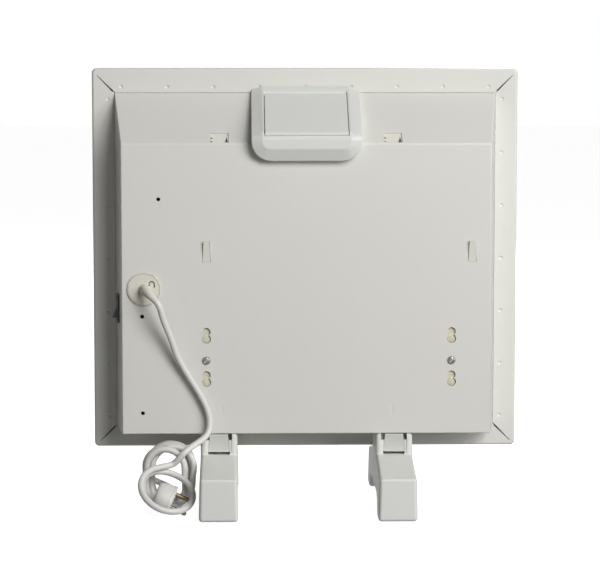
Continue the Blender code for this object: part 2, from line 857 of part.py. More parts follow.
def build_control_housing():
    rear_edge = housing_top - housing_rear_drop
    face_low = rear_edge - housing_face
    base_low = face_low - housing_skirt
    wide = housing_half_width
    narrow = housing_top_half_width
    base = housing_outline(wide, base_low, cover_crease, housing_base_corner)
    face = housing_outline(narrow, face_low, rear_edge, housing_face_corner)
    shoulder_drop = housing_bevel / top_out.z
    shoulder_top = rear_edge + housing_bevel * housing_rear_drop / housing_top_length - shoulder_drop
    shoulder = housing_outline(wide, base_low, shoulder_top, housing_base_corner)
    points = [Vector((x, cover_back + gap, z)) for x, z in base]
    points += [Vector((x, housing_back - housing_bevel, z)) for x, z in shoulder]
    points += [Vector((x, housing_back, z)) for x, z in face]
    for z in (cover_top, housing_top - shoulder_drop):
        points += [Vector((x, housing_front, z)) for x in (-wide, wide)]
    points += [Vector((x, housing_front, housing_top)) for x in (-narrow, narrow)]
    foot_half = wide - housing_base_corner
    points += [Vector((x, housing_front, base_low)) for x in (-foot_half, foot_half)]
    form = bmesh.new()
    for point in points:
        form.verts.new(point)
    found = bmesh.ops.convex_hull(form, input=form.verts[:])
    loose = [v for v in form.verts if not v.link_faces]
    bmesh.ops.delete(form, geom=loose, context="VERTS")
    assert found
    housing = node("control_housing", "white_plastic", form)
    cut(housing, form_of((cover_block, gap, housing_front - overrun)), "seat")

    top_axes = (ACROSS, top_back, top_out)
    half = lid_half_width + lid_side_gap
    pocket = bmesh.new()
    low = (-half, lid_pin_back, -lid_wall - slack)
    block(pocket, low, (half, top_length + overrun, overrun), housing_front_edge, top_axes)
    cut(housing, pocket, "lid_recess")
    skirt = bmesh.new()
    low = (-half, housing_back - lid_wall - slack, rear_edge - lid_skirt - gap)
    block(skirt, low, (half, housing_back + overrun, rear_edge + overrun))
    cut(housing, skirt, "skirt_recess")
    well = bmesh.new()
    low = (-half + housing_wall, deck_front, -deck_depth)
    high = (half - housing_wall, top_length - 2 * housing_wall, overrun)
    block(well, low, high, housing_front_edge, top_axes)
    cut(housing, well, "well")
    trough_radius = lid_pin_depth + slack
    trough = form_of((rod, lid_axis - ACROSS * half, ACROSS, 2 * half, trough_radius, 16))
    cut(housing, trough, "trough")
    turn = Matrix.Rotation(lid_open, 3, "X")
    open_axes = (ACROSS, turn @ top_back, turn @ top_out)
    stop = form_of((block, (-half, -slack, 0), (half, 4 * lid_pin_depth, trough_radius), lid_axis, open_axes))
    cut(housing, stop, "lid_stop")
    reach = half + lid_pin_seat
    pin_bore = form_of((rod, lid_axis - ACROSS * reach, ACROSS, 2 * reach, lid_pin_radius + gap, 10))
    cut(housing, pin_bore, "pin_bore")

    room = bmesh.new()
    low = (-board_width / 2 - housing_wall, deck_front, -deck_depth - deck_wall - board_room)
    high = (board_width / 2 + housing_wall, top_length - 2 * housing_wall, -deck_depth - deck_wall)
    block(room, low, high, housing_front_edge, top_axes)
    cut(housing, room, "board_room")
    stems = bmesh.new()
    for x, radius in control_bores():
        start = deck_point(x, deck_middle, -deck_depth - deck_wall - overrun)
        rod(stems, start, top_out, deck_wall + 2 * overrun, radius)
    cut(housing, stems, "stem_bores")


def control_bores():
    """Across place and bore radius of each hole in the deck."""
    return (
        (knob_across, shaft_radius + gap),
        (mode_across, button_radius + gap),
        (power_across, button_radius + gap),
        (lens_across, lens_radius + gap),
    )


def lid_outline():
    """The lid's side view, as (y, z): rolled round its pin in front, folded down behind."""
    def at(back, out):
        point = deck_point(0, back, out)
        return point.y, point.z

    outer = []
    inner = []
    for i in range(lid_roll_steps + 1):
        angle = (1 - i / lid_roll_steps) * math.pi / 2
        for points, radius in ((outer, lid_pin_depth), (inner, lid_pin_depth - lid_wall)):
            back = lid_pin_back - radius * math.sin(angle)
            points.append(at(back, radius * math.cos(angle) - lid_pin_depth))
    rear_edge = housing_top - housing_rear_drop
    skirt_low = rear_edge - lid_skirt
    inside = top_length - lid_wall / top_back.y
    fold = [(housing_back, rear_edge), (housing_back, skirt_low), (housing_back - lid_wall, skirt_low)]
    return outer + fold + [at(inside, -lid_wall)] + inner[::-1]


def build_lid():
    outline = lid_outline()
    form = form_of((extrude_across, outline, -lid_half_width, lid_half_width))
    lid = node("control_lid", "white_plastic", form)
    lugs = bmesh.new()
    for side in (-1, 1):
        start = lid_axis + ACROSS * (side * (lid_half_width - lid_lug_inset) - lid_lug_width / 2)
        rod(lugs, start, ACROSS, lid_lug_width, lid_pin_depth - slack / 4, 16)
    join(lid, lugs, "lugs")
    start = lid_axis - ACROSS * (lid_half_width + overrun)
    bore = form_of((rod, start, ACROSS, 2 * (lid_half_width + overrun), lid_pin_radius + gap, 10))
    cut(lid, bore, "pin_bore")
    pivot(lid, lid_axis)
    pin_half = lid_half_width + lid_pin_seat
    pin = form_of((rod, lid_axis - ACROSS * pin_half, ACROSS, 2 * pin_half, lid_pin_radius, 10))
    node("lid_hinge_pin", "steel", pin)


def build_controls():
    place = deck_point(knob_across, deck_middle, -deck_depth + gap)
    profile = (
        (-deck_wall - board_drop + gap, shaft_radius),
        (0, shaft_radius),
        (0, knob_radius),
        (knob_height / 4, knob_radius),
        (knob_height * 0.9, knob_grip_radius),
        (knob_height, knob_grip_radius - knob_height / 10),
    )
    knob = node("thermostat_knob", "white_plastic", form_of((turned, place, top_out, profile, 20)))
    pivot(knob, place, (ACROSS, top_back, top_out))
    for name, x in (("mode_button", mode_across), ("power_button", power_across)):
        place = deck_point(x, deck_middle, -deck_depth)
        profile = (
            (-deck_wall - button_stem + gap, button_radius),
            (button_height, button_radius),
            (button_height + slack, button_radius - slack),
        )
        button = node(name, "black_plastic", form_of((turned, place, top_out, profile, 14)))
        pivot(button, place, (ACROSS, top_back, top_out))
    place = deck_point(lens_across, deck_middle, -deck_depth)
    lens_top = lens_height + slack
    profile = ((-deck_wall, lens_radius), (lens_height, lens_radius), (lens_top, lens_radius - slack))
    node("indicator_lens", "lens_red", form_of((turned, place, top_out, profile, 12)))

    drop = deck_depth + deck_wall + board_drop
    low = (-board_width / 2, board_back - board_depth / 2, -drop - board_sheet)
    high = (board_width / 2, board_back + board_depth / 2, -drop)
    form = form_of((block, low, high, housing_front_edge, (ACROSS, top_back, top_out)))
    node("control_board", "circuit_board", form, smooth=False)


def build_switch():
    axes = (switch_along, UP, switch_out)
    low = (-switch_deep / 2, -switch_tall / 2, gap)
    high = (switch_deep / 2, switch_tall / 2, gap + switch_bezel)
    body = node("switch_body", "black_plastic", form_of((block, low, high, switch_place, axes)), smooth=False)
    low = (-switch_body_deep / 2, -switch_body_tall / 2, -switch_body_length)
    high = (switch_body_deep / 2, switch_body_tall / 2, gap + switch_bezel / 2)
    join(body, form_of((block, low, high, switch_place, axes)), "case")
    room = (rocker_deep / 2 + gap, rocker_tall / 2 + gap)
    low = (-room[0], -room[1], -rocker_sink - rocker_tall / 3)
    high = (room[0], room[1], switch_bezel + overrun)
    cut(body, form_of((block, low, high, switch_place, axes)), "well")

    outline = (
        (rocker_inset - rocker_tall / 2, -rocker_thick),
        (2 * rocker_inset - rocker_tall / 2, rocker_low),
        (0, switch_bezel + rocker_high),
        (rocker_tall / 2 - rocker_inset / 2, rocker_high),
        (rocker_tall / 2 - rocker_inset, -rocker_thick),
        (0, -rocker_sink - rocker_thick),
    )
    form = bmesh.new()
    loft(form, [
        [switch_place + switch_along * y + UP * z + switch_out * out for z, out in outline]
        for y in (-rocker_deep / 2, rocker_deep / 2)
    ])
    rocker = node("switch_rocker", "black_plastic", form, smooth=False)
    pivot(rocker, switch_place, axes)


def foot_outline():
    """The side view of a foot, as (y, z), with its arch open to the floor."""
    half = foot_length / 2
    rail_top = cover_bottom - gap
    under_panel = panel_clearance - gap
    rail_back = cover_back + foot_rail_proud
    inner = half - foot_pad
    return (
        (half, 0),
        (half, toe_rear_height),
        (rail_back, foot_crown),
        (rail_back, rail_top),
        (flange_plane + gap, rail_top),
        (flange_plane + gap, under_panel - foot_round),
        (panel_front, foot_front_crown),
        (-half, toe_front_height),
        (-half, 0),
        (-inner, 0),
        (-inner + arch_splay, arch_shoulder),
        (-inner + 3 * arch_splay, arch_height),
        (inner - 3 * arch_splay, arch_height),
        (inner - arch_splay, arch_shoulder),
        (inner, 0),
    )


def latch_block(form, x, low, high, front, back):
    """A block that narrows upwards, from (half width, height) low to the same high."""
    outline = ((-low[0], low[1]), (low[0], low[1]), (high[0], high[1]), (-high[0], high[1]))
    loft(form, [[Vector((x + u, y, z)) for u, z in outline] for y in (front, back)])


def build_foot(name, side):
    x = side * foot_place
    form = form_of((extrude_across, foot_outline(), x - foot_width / 2, x + foot_width / 2))
    foot = node(f"foot_{name}", "white_plastic", form)
    ease = foot.modifiers.new("eased_edges", "BEVEL")
    ease.width = foot_round
    ease.segments = 2
    ease.limit_method = "ANGLE"
    ease.angle_limit = 30 * degree
    back = cover_back + foot_rail_proud
    pocket_low = (latch_foot_half_width + latch_gap, foot_crown)
    pocket_high = (latch_top_half_width + latch_gap, cover_bottom + overrun)
    cut(foot, form_of((latch_block, x, pocket_low, pocket_high, back - pocket_depth, back + overrun)), "pocket")
    low = (x - pocket_shoulder, back - pocket_recess, foot_crown)
    high = (x + pocket_shoulder, back + overrun, cover_bottom + overrun)
    cut(foot, form_of((block, low, high)), "recess")
    low = (x - pocket_shoulder, back - pocket_depth / 2, cover_bottom - pocket_shoulder_height)
    cut(foot, form_of((block, low, high)), "shoulder")
    low, high = hook_tab_box(x)
    join(foot, form_of((block, low, high)), "hook_tab")
    axle = Vector((x, back - latch_axle_in, cover_bottom - latch_axle_drop))
    barrel_half = pocket_shoulder - gap
    bore_half = pocket_shoulder
    bore_radius = latch_barrel_radius + gap
    cut(foot, form_of((rod, axle - ACROSS * bore_half, ACROSS, 2 * bore_half, bore_radius, 10)), "barrel_seat")

    tongue_low = (latch_foot_half_width, foot_crown + latch_lift)
    tongue_high = (latch_top_half_width, cover_bottom - slack)
    tongue = form_of((latch_block, x, tongue_low, tongue_high, back - latch_thick, back))
    latch = node(f"foot_latch_{name}", "white_plastic", tongue)
    web = bmesh.new()
    low = (x - latch_web_half_width, back - latch_axle_in, axle.z - latch_barrel_radius)
    high = (x + latch_web_half_width, back - latch_thick / 2, axle.z + latch_barrel_radius)
    block(web, low, high)
    join(latch, web, "web")
    barrel = form_of((rod, axle - ACROSS * barrel_half, ACROSS, 2 * barrel_half, latch_barrel_radius, 10))
    join(latch, barrel, "barrel")
    pivot(latch, axle)


def smooth_curve(points, count):
    """Points evenly spaced along a natural cubic through the given ones."""
    route = np.array([tuple(p) for p in points], float)
    size = len(route)
    along = np.concatenate([[0], np.cumsum(np.linalg.norm(np.diff(route, axis=0), axis=1))])
    step = np.diff(along)
    system = np.eye(size)
    pull = np.zeros((size, 3))
    for i in range(1, size - 1):
        system[i, i - 1:i + 2] = step[i - 1], 2 * (step[i - 1] + step[i]), step[i]
        ahead = (route[i + 1] - route[i]) / step[i]
        behind = (route[i] - route[i - 1]) / step[i - 1]
        pull[i] = 6 * (ahead - behind)
    bend = np.linalg.solve(system, pull)
    places = np.linspace(0, along[-1], count)
    k = np.clip(np.searchsorted(along, places, side="right") - 1, 0, len(step) - 1)
    left = (along[k + 1] - places)[:, None]
    right = (places - along[k])[:, None]
    span = step[k][:, None]
    cubic = (bend[k] * left**3 + bend[k + 1] * right**3) / (6 * span)
    line = (route[k] / span - bend[k] * span / 6) * left
    line = line + (route[k + 1] / span - bend[k + 1] * span / 6) * right
    return cubic + line


def ease_in(value):
    held = np.clip(value, 0, 1)
    return held * held * (3 - 2 * held)


def stadium(turn, radius, half):
    """A point of an upright stadium, the turn being a share of its outline from the right."""
    ends = np.cumsum([0, half, math.pi * radius, 2 * half, math.pi * radius, half])
    reach = (turn % 1) * ends[-1]
    piece = np.clip(np.searchsorted(ends, reach, side="right") - 1, 0, 4)
    past = reach - ends[piece]
    angle = past / radius
    flat = 0 * past
    x = np.choose(piece, [
        radius + flat, radius * np.cos(angle), flat - radius, -radius * np.cos(angle), radius + flat
    ])
    z = np.choose(piece, [
        past, half + radius * np.sin(angle), half - past, -half - radius * np.sin(angle), past - half
    ])
    return x, z


def bundle_points():
    """The bundled lead's centreline, from where the free run joins it to its plug."""
    turns = tall_loops + last_turn_share - first_turn_share
    n = np.linspace(0, turns, int(round(turns * loop_point_count)) + 1)
    turn = first_turn_share + n
    fade = ease_in((n - ring_turns) / fade_turns)
    circle = 2 * math.pi * turn
    length = math.hypot(ring_tilt, ring_half_height)
    flat_share = ring_half_height / length
    steep_share = ring_tilt / length
    flat_x = ring_half_width * np.cos(circle)
    flat_z = ring_half_height * np.sin(circle) - loop_pitch * steep_share * n
    ring_x = flat_x * math.cos(ring_lean) + flat_z * math.sin(ring_lean)
    ring_z = flat_z * math.cos(ring_lean) - flat_x * math.sin(ring_lean) + ring_centre
    tall_x, tall_z = stadium(turn, tall_radius, tall_straight)
    swell = 1 + swell_share * np.cos(2 * math.pi * swell_rate_share * n)
    lean = lean_angle * np.sin(2 * math.pi * lean_rate_share * n)
    side = fan_out * np.sin(2 * math.pi * fan_rate_share * n)
    leant_x = swell * (tall_x * np.cos(lean) - tall_z * np.sin(lean)) + side
    leant_z = swell * (tall_x * np.sin(lean) + tall_z * np.cos(lean)) + tall_centre
    step = loop_pitch * ((1 - fade) * flat_share + fade)
    stack = np.concatenate([[0], np.cumsum((step[1:] + step[:-1]) / 2 * np.diff(n))])
    x = (1 - fade) * ring_x + fade * leant_x
    z = (1 - fade) * ring_z + fade * leant_z
    y = -stack - ring_tilt * ((1 - fade) * np.sin(circle) + fade)
    loops = np.stack([bundle_across - x, bundle_deep + y, z], axis=1)
    return np.vstack([bundle_lead_in(loops), loops, bundle_tail(loops[-1])])


def bundle_lead_in(loops):
    """One straight diameter before the first loop."""
    way = loops[0] - loops[1]
    way = way / np.linalg.norm(way)
    return np.array([loops[0] + way * cord_diameter])


def bundle_tail(start):
    """From the last loop's side, round and forward through the loops to the plug's neck."""
    neck = plug_neck_end() - np.array([0, gap, 0])
    steps = [start + np.array([-across, ahead, up]) for across, ahead, up in tail_steps]
    straight = neck - np.array([0, cord_diameter, 0])
    return np.array([*steps, straight, neck])


def plug_neck_end():
    return np.array(plug_centre) - np.array([0, plug_radius_deep + plug_neck, 0])


def least_gap(points):
    """The smallest clear distance between two stretches of the tube that aren't neighbours."""
    lengths = np.linalg.norm(np.diff(points, axis=0), axis=1)
    along = np.concatenate([[0], np.cumsum(lengths)])
    places = np.arange(0, along[-1], cord_diameter / 4)
    dense = np.stack([np.interp(places, along, points[:, k]) for k in range(3)], axis=1)
    apart = np.linalg.norm(dense[:, None] - dense[None], axis=2)
    near = np.abs(places[:, None] - places[None]) < 4 * cord_diameter
    apart[near] = apart.max()
    return apart.min() - cord_diameter


def tube(name, points, resolution):
    curve = bpy.data.curves.new(name, "CURVE")
    curve.dimensions = "3D"
    curve.bevel_depth = cord_diameter / 2
    curve.bevel_resolution = resolution
    curve.use_fill_caps = True
    curve.twist_mode = "MINIMUM"
    line = curve.splines.new("POLY")
    line.points.add(len(points) - 1)
    for spot, place in zip(line.points, points):
        spot.co = (*place, 1)
    line.use_smooth = True
    thing = bpy.data.objects.new(name, curve)
    bpy.context.scene.collection.objects.link(thing)
    curve.materials.append(finish("white_cable"))
    return thing


def build_gland():
    profile = (
        (-gland_barrel, gland_barrel_radius),
        (gap, gland_barrel_radius),
        (gap, gland_radius),
        (gap + gland_flange * 0.7, gland_radius),
        (gap + gland_flange, gland_radius - gland_flange * 0.7),
    )
    node("cable_disc", "cream_plastic", form_of((turned, gland_place, DEEP, profile, 28)))
    root = gland_place + DEEP * (2 * gap + gland_flange)
    rings = []
    for i in range(boot_ring_count + 1):
        share = i / boot_ring_count
        centre = root.lerp(boot_knee, share).lerp(boot_knee.lerp(boot_tip, share), share)
        first = DEEP if i == 0 else (boot_knee - root).normalized()
        axis = first.lerp((boot_tip - boot_knee).normalized(), share).normalized()
        across, away = side_axes(axis)
        radius = boot_root_radius + (boot_tip_radius - boot_root_radius) * share
        angles = [2 * math.pi * k / 14 for k in range(14)]
        rings.append([centre + (across * math.cos(a) + away * math.sin(a)) * radius for a in angles])
    node("cord_boot", "cream_plastic", form_of((loft, rings)))


def run_line(first, first_way, last, last_way):
    """The free run's points: straight for one diameter at each end, a smooth curve between."""
    ends = [first, first + first_way * cord_diameter, last + last_way * cord_diameter, last]
    curve = smooth_curve([ends[0], ends[1], *run_route, ends[2], ends[3]], run_point_count)
    far = cord_diameter * 1.6
    inner = [p for p in curve if min(math.dist(p, ends[0]), math.dist(p, ends[3])) > far]
    return np.array([ends[0], ends[1], *inner, ends[2], ends[3]])


def build_cord():
    bundle = bundle_points()
    way = np.array((boot_tip - boot_knee).normalized())
    join_way = (bundle[0] - bundle[1]) / np.linalg.norm(bundle[0] - bundle[1])
    run = run_line(np.array(boot_tip) + way * gap, way, bundle[0] + join_way * gap, join_way)
    tube("cord_run", run, 3)
    tube("cord_hank", bundle, 1)
    run_length = np.linalg.norm(np.diff(run, axis=0), axis=1).sum()
    bundle_length = np.linalg.norm(np.diff(bundle, axis=0), axis=1).sum()
    print(f"lead: run {run_length:.3f} m, bundle {bundle_length:.3f} m")
    print(f"least gap between the bundle's turns {least_gap(bundle) / mm:.2f} mm")


def build_plug():
    steps = ((-plug_thick / 2, 0.78), (-plug_thick * 0.35, 0.94), (-plug_thick * 0.1, 1.0), (plug_thick / 2, 1.0))
    rings = []
    for along, share in steps:
        ring = []
        for k in range(20):
            angle = 2 * math.pi * k / 20
            tall = plug_up * (plug_radius_tall * math.cos(angle))
            reach = tall + plug_side * (plug_radius_deep * math.sin(angle))
            ring.append(plug_centre + plug_out * along + reach * share)
        rings.append(ring)
    form = bmesh.new()
    loft(form, rings)
    body = node("plug_body", "white_cable", form)
    start = Vector(plug_neck_end())
    profile = ((0, plug_neck_radius), (plug_neck + plug_radius_deep / 2, plug_neck_radius * 1.2))
    join(body, form_of((turned, start, DEEP, profile, 12)), "neck")
    for name, side in (("plug_pin_upper", 1), ("plug_pin_lower", -1)):
        place = plug_centre + plug_out * (plug_thick / 2 + gap) + plug_up * (side * pin_spacing / 2)
        tip = pin_radius / 2
        profile = ((0, pin_radius), (pin_length - tip, pin_radius), (pin_length, pin_radius - tip))
        node(name, "brass", form_of((turned, place, plug_out, profile, 12)))


def build():
    clear_scene()
    build_front_panel()
    build_outlet_grille()
    build_rear_cover()
    build_heat_shield()
    build_heating_element()
    build_cutout_and_terminals()
    build_control_housing()
    build_lid()
    build_controls()
    build_switch()
    for name, side in (("left", 1), ("right", -1)):
        build_foot(name, side)
    build_gland()
    build_cord()
    build_plug()


build()
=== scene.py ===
"""The convector heater dressed for its photograph: seen from behind, standing on its two feet."""

import json
import math

import bmesh
import bpy
import numpy as np
from mathutils import Matrix, Vector

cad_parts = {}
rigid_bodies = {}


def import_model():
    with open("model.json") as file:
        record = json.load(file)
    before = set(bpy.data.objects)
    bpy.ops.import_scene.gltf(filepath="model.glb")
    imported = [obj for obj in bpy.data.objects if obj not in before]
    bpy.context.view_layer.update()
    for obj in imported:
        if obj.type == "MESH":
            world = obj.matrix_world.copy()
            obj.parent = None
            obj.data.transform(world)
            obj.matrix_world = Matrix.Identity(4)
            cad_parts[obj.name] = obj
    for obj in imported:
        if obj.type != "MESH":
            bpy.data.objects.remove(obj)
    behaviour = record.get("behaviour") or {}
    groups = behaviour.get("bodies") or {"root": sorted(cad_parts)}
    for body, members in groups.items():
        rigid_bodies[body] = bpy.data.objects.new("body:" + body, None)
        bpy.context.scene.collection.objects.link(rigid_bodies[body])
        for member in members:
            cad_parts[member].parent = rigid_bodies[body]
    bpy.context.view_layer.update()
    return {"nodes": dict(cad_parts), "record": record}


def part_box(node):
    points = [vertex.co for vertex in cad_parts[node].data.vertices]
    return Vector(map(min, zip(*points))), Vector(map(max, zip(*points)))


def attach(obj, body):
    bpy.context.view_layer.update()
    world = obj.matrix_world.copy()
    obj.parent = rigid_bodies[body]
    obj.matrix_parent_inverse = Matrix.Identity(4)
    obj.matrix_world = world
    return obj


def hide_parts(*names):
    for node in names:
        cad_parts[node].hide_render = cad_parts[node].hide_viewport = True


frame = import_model()

MM = 0.001
DEGREE = math.pi / 180
QUARTER = [15 * step * DEGREE for step in range(7)]
ACROSS = Vector((1, 0, 0))
DEEP = Vector((0, 1, 0))
UP = Vector((0, 0, 1))
NODES = frame["nodes"]
BODY_OF = {node: body for body, nodes in frame["record"]["behaviour"]["bodies"].items() for node in nodes}

# Distances that many pieces share
GAP = 0.3 * MM
SHEET = 1.0 * MM
COVER_RIM = 18 * MM
OVERRUN = 2 * MM
NEAR = 0.1 * MM
FINE = 0.02 * MM
WELD = 0.002 * MM
TIP_RADIUS = 0.05 * MM

# Places read from the frame
PANEL_LOW, PANEL_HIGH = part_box("front_panel")
GRILLE_LOW, GRILLE_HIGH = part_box("outlet_grille")
COVER_LOW, COVER_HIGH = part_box("rear_cover")
HOUSING_LOW, HOUSING_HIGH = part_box("control_housing")
LID_LOW, LID_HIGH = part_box("control_lid")
FOOT_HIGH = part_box("foot_left")[1]
PANEL_BACK = PANEL_HIGH[1]
COVER_BACK = COVER_HIGH[1]
HOUSING_BACK = HOUSING_HIGH[1]
LATCH_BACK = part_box("foot_latch_left")[1][1]
RAIL_TOP = COVER_LOW[2] + COVER_RIM

# The lead's sizes and route, as in the part's source; its points are in metres
CORD_DIAMETER = 6.8 * MM
LEAD_POINTS = 900
BOOT_KNEE = Vector((0.1705, 0.049, 0.236))
BOOT_TIP = Vector((0.1625, 0.0535, 0.228))
RUN_ROUTE = (
    (0.1525, 0.0535, 0.2082), (0.1451, 0.047, 0.1875), (0.1375, 0.0415, 0.1652), (0.1266, 0.0385, 0.1446),
    (0.1142, 0.0378, 0.1242), (0.1065, 0.0378, 0.1085), (0.1034, 0.0388, 0.093), (0.106, 0.043, 0.0815),
    (0.1135, 0.0495, 0.075), (0.123, 0.056, 0.0695), (0.1325, 0.0612, 0.062),
)
BUNDLE_ACROSS = 146.9 * MM
BUNDLE_DEEP = 88 * MM
RING_HALF_WIDTH = 28.4 * MM
RING_HALF_HEIGHT = 16.5 * MM
RING_TILT = 25 * MM
RING_CENTRE = 32 * MM
RING_LEAN = 18 * DEGREE
RING_TURNS = 0.85
FADE_TURNS = 0.9
FIRST_TURN = 0.33
LAST_TURN = 0.45
TALL_LOOPS = 6
POINTS_PER_TURN = 24
LOOP_PITCH = 8.3 * MM
TALL_RADIUS = 21.5 * MM
TALL_STRAIGHT = 9.5 * MM
TALL_CENTRE = 36 * MM
FAN_OUT = 4 * MM
FAN_RATE = 0.42
SWELL_SHARE = 0.04
SWELL_RATE = 0.37
LEAN_ANGLE = 5.7 * DEGREE
LEAN_RATE = 0.29
TAIL_STEPS = (
    (-0.001, -0.0012, -0.0092), (0.0013, -0.0028, -0.0156), (0.0059, -0.0038, -0.02),
    (0.0118, -0.0029, -0.0228), (0.0179, 0.001, -0.0247), (0.0231, 0.0092, -0.0262),
    (0.0237, 0.0176, -0.0263), (0.0218, 0.0256, -0.0256), (0.0193, 0.0326, -0.0248),
    (0.018, 0.0381, -0.0244),
)

# The plug: pairs are a place along it and a radius, as shares of its half length or of its own radius
PLUG_CENTRE = Vector((0.1509, 0.0855, 0.0222))
PLUG_DIP = 25 * DEGREE
PLUG_ROLL = 52 * DEGREE
PLUG_RADIUS_TALL = 16.5 * MM
PLUG_RADIUS_DEEP = 14 * MM
PLUG_THICK = 19 * MM
PLUG_SIDES = 56
PLUG_SHARES = (
    (-1, 0.62), (-0.96, 0.7), (-0.82, 0.8), (-0.5, 0.9), (-0.1, 0.955), (0.35, 0.985),
    (0.45, 0.985), (0.47, 0.955), (0.56, 0.955), (0.58, 1), (0.93, 1), (1, 0.965),
)
PINCH_SHARE = 0.07
PINCH_PLACE_SHARE = -0.1
PLUG_NECK = 8 * MM
PLUG_NECK_RADIUS = 5.5 * MM
NECK_RIBS = 5
NECK_TIP_SHARE = 0.84
NECK_GROOVE_SHARE = 0.84
NECK_ROOT = 7 * MM
NECK_ROOT_SHARE = 1.2
RIB_RISE = 0.4 * MM
RIB_TOP = 1.0 * MM
RIB_END = 1.3 * MM
PIN_RADIUS = 2.4 * MM
PIN_LENGTH = 19 * MM
PIN_SPACING = 19 * MM
PIN_ROOT = 0.6 * MM
PIN_TIP_SHARES = ((0.75, 1), (0.375, 0.86), (0.1125, 0.55), (0, 0.2))

# The front panel's folded rim, its mitres and its clinch marks
RIM_BEND = 2.6 * MM
FRONT_BEND = 2.0 * MM
PANEL_CORNER = 5.0 * MM
CORNER_SHARE = 0.7
OUTLET_LIP = 5 * MM
MITRE_LENGTH = 26 * MM
MITRE_WIDE = 2.0 * MM
MITRE_NARROW = 0.5 * MM
MITRE_DEPTH = 6 * MM
CLINCHES_ACROSS = 9
CLINCHES_DOWN = 7
CLINCH_PITCH_ACROSS = 49.6 * MM
CLINCH_PITCH_DOWN = 57.6 * MM
CLINCH_INSET_SIDE = 17 * MM
CLINCH_INSET_TOP = 20 * MM
CLINCH_RADIUS = 2.3 * MM
CLINCH_DEPTH = 0.9 * MM
CLINCH_FLARE_SHARE = 1.02

# The rear cover: its bend, and what is cut, pressed or lanced in it; outlines in millimetres
COVER_BEND = 1.2 * MM
LONG_EDGE = 30 * MM
LEVEL_SHARE = 0.9
CUT_DEPTH = 3 * MM
PIN_HOLES = ((157 * MM, 331.3 * MM), (174.9 * MM, 206.3 * MM), (174.6 * MM, 102.5 * MM))
PIN_HOLE_RADIUS = 2.1 * MM
LANCES = (106.2 * MM, -176.3 * MM)
LANCE_LOW = 264.5 * MM
LANCE_HIGH = 286.5 * MM
LANCE_HALF = 4.5 * MM
LANCE_TOP_HALF = 3.5 * MM
LANCE_SLIT = 0.35 * MM
LANCE_LIFT = 0.15 * MM
LANCE_PROUD = 3.2 * MM
LANCE_LEAN_SHARES = ((0, 0), (0.04, 0.01), (0.1, 0.06), (0.2, 0.16), (0.6, 0.58), (1, 1))
ARROW_ACROSS = 91 * MM
ARROW = ((-3, 110.7), (3, 110.7), (3, 102.6), (4.3, 102.6), (0, 97.2), (-4.3, 102.6), (-3, 102.6))
ARROW_DEPTH = 0.85 * MM
ARROW_SLOPE = 0.9 * MM

# The heat shield's pads behind the keyholes and hook slots; the outline is in millimetres
HANGERS = (106.7 * MM, -154.8 * MM)
ENTRY_HEIGHTS = (135.5 * MM, 182 * MM)
KEYHOLE_STEP = 7.6 * MM
SHIELD_GAP = 5.5 * MM
PAD_PROFILE = ((0, 7.4 * MM), (3.5 * MM, 7.0 * MM), (4.5 * MM, 6.2 * MM))
DOME_FOOT_RADIUS = 6.6 * MM
DOME_RADIUS = 6.4 * MM
DOME_WALL = 3.2 * MM
DOME_RISE = 2.4 * MM
HOOK_ACROSS = 92 * MM
SLOPE_DEPTH = 64 * MM
SLOPE_DROP = 51 * MM
SLOPE_UP = Vector((0, -SLOPE_DEPTH, SLOPE_DROP)).normalized()
SLOPE_OUT = Vector((0, SLOPE_DROP, SLOPE_DEPTH)).normalized()
HOOK_PAD_LEVELS = (-6.9 * MM, -1.25 * MM)
HOOK_PAD = (
    (9.9, 1.7), (9.9, 3.4), (7.2, 4.8), (9.9, 6.6), (9.9, 8.2), (6.8, 10.0), (9.9, 12.2), (9.9, 17.3),
    (-9.9, 17.3), (-9.9, 1.7), (-9.2, 1.7), (-7.2, 12.5), (-4.5, 1.7),
)

# The shield's screws
SCREW_HEIGHT = 158.9 * MM
SCREW_RADIUS = 4.2 * MM
SCREW_PROUD = 2.2 * MM
SCREW_WALL_SHARE = 0.3
SCREW_FLAT_SHARE = 0.04
SCREW_TURN = -40 * DEGREE
SHANK_RADIUS = 1.6 * MM
SHANK_PROFILE = ((-11 * MM, 1.2 * MM), (-10 * MM, SHANK_RADIUS), (0, SHANK_RADIUS))
SLOT_HALF = 0.55 * MM
SLOT_DEPTH = 1.3 * MM
# The plate at each slot's floor, which carries a painted reflection
SLOT_GLINT_HALF = 0.6 * MM
SLOT_GLINT_LENGTH = 6.8 * MM

# The control housing's bevels, and its slope and corner in the part's source
HOUSING_BEVEL = 5 * MM
HOUSING_CORNER = 21 * MM
HOUSING_SLOPE = 46 / 78.7
HOUSING_EASE = 0.9 * MM
SIDE_BEVEL = 2.9 * MM
FOOT_BEVEL = 6.5 * MM
EDGE_BAND = 7.8 * MM
EDGE_SLANT = 1.2 * MM
LID_SIDE_GAP = 1.4 * MM

# The feet, with the rounding of their outline's corners
FOOT_HALF = 20.7 * MM
FOOT_TAPER = 1.0 * MM
FOOT_TAPER_TOP = 46 * MM
FOOT_EDGE = 4.0 * MM
TOE_REAR_HEIGHT = 45 * MM
TOE_FRONT_HEIGHT = 42 * MM
CROWN_HEIGHT = 57.5 * MM
FRONT_CROWN_HEIGHT = 52 * MM
PANEL_CLEARANCE = 2.7 * MM
PAD_LENGTH = 30 * MM
ARCH_SPLAY = 9 * MM
ARCH_SHOULDER = 14 * MM
ARCH_HEIGHT = 19 * MM
SOLE_ROUND = 3.6 * MM
TOE_ROUND = 2.6 * MM
RAIL_ROUND = 1.2 * MM
ARCH_ROUND = 8 * MM
ARCH_TOP_ROUND = 12 * MM
LEAST_ROUND = 0.3 * MM
POCKET_FOOT_HALF = 11.7 * MM
POCKET_TOP_HALF = 10.1 * MM
POCKET_DEPTH = 24 * MM
POCKET_ROUND = 1.4 * MM
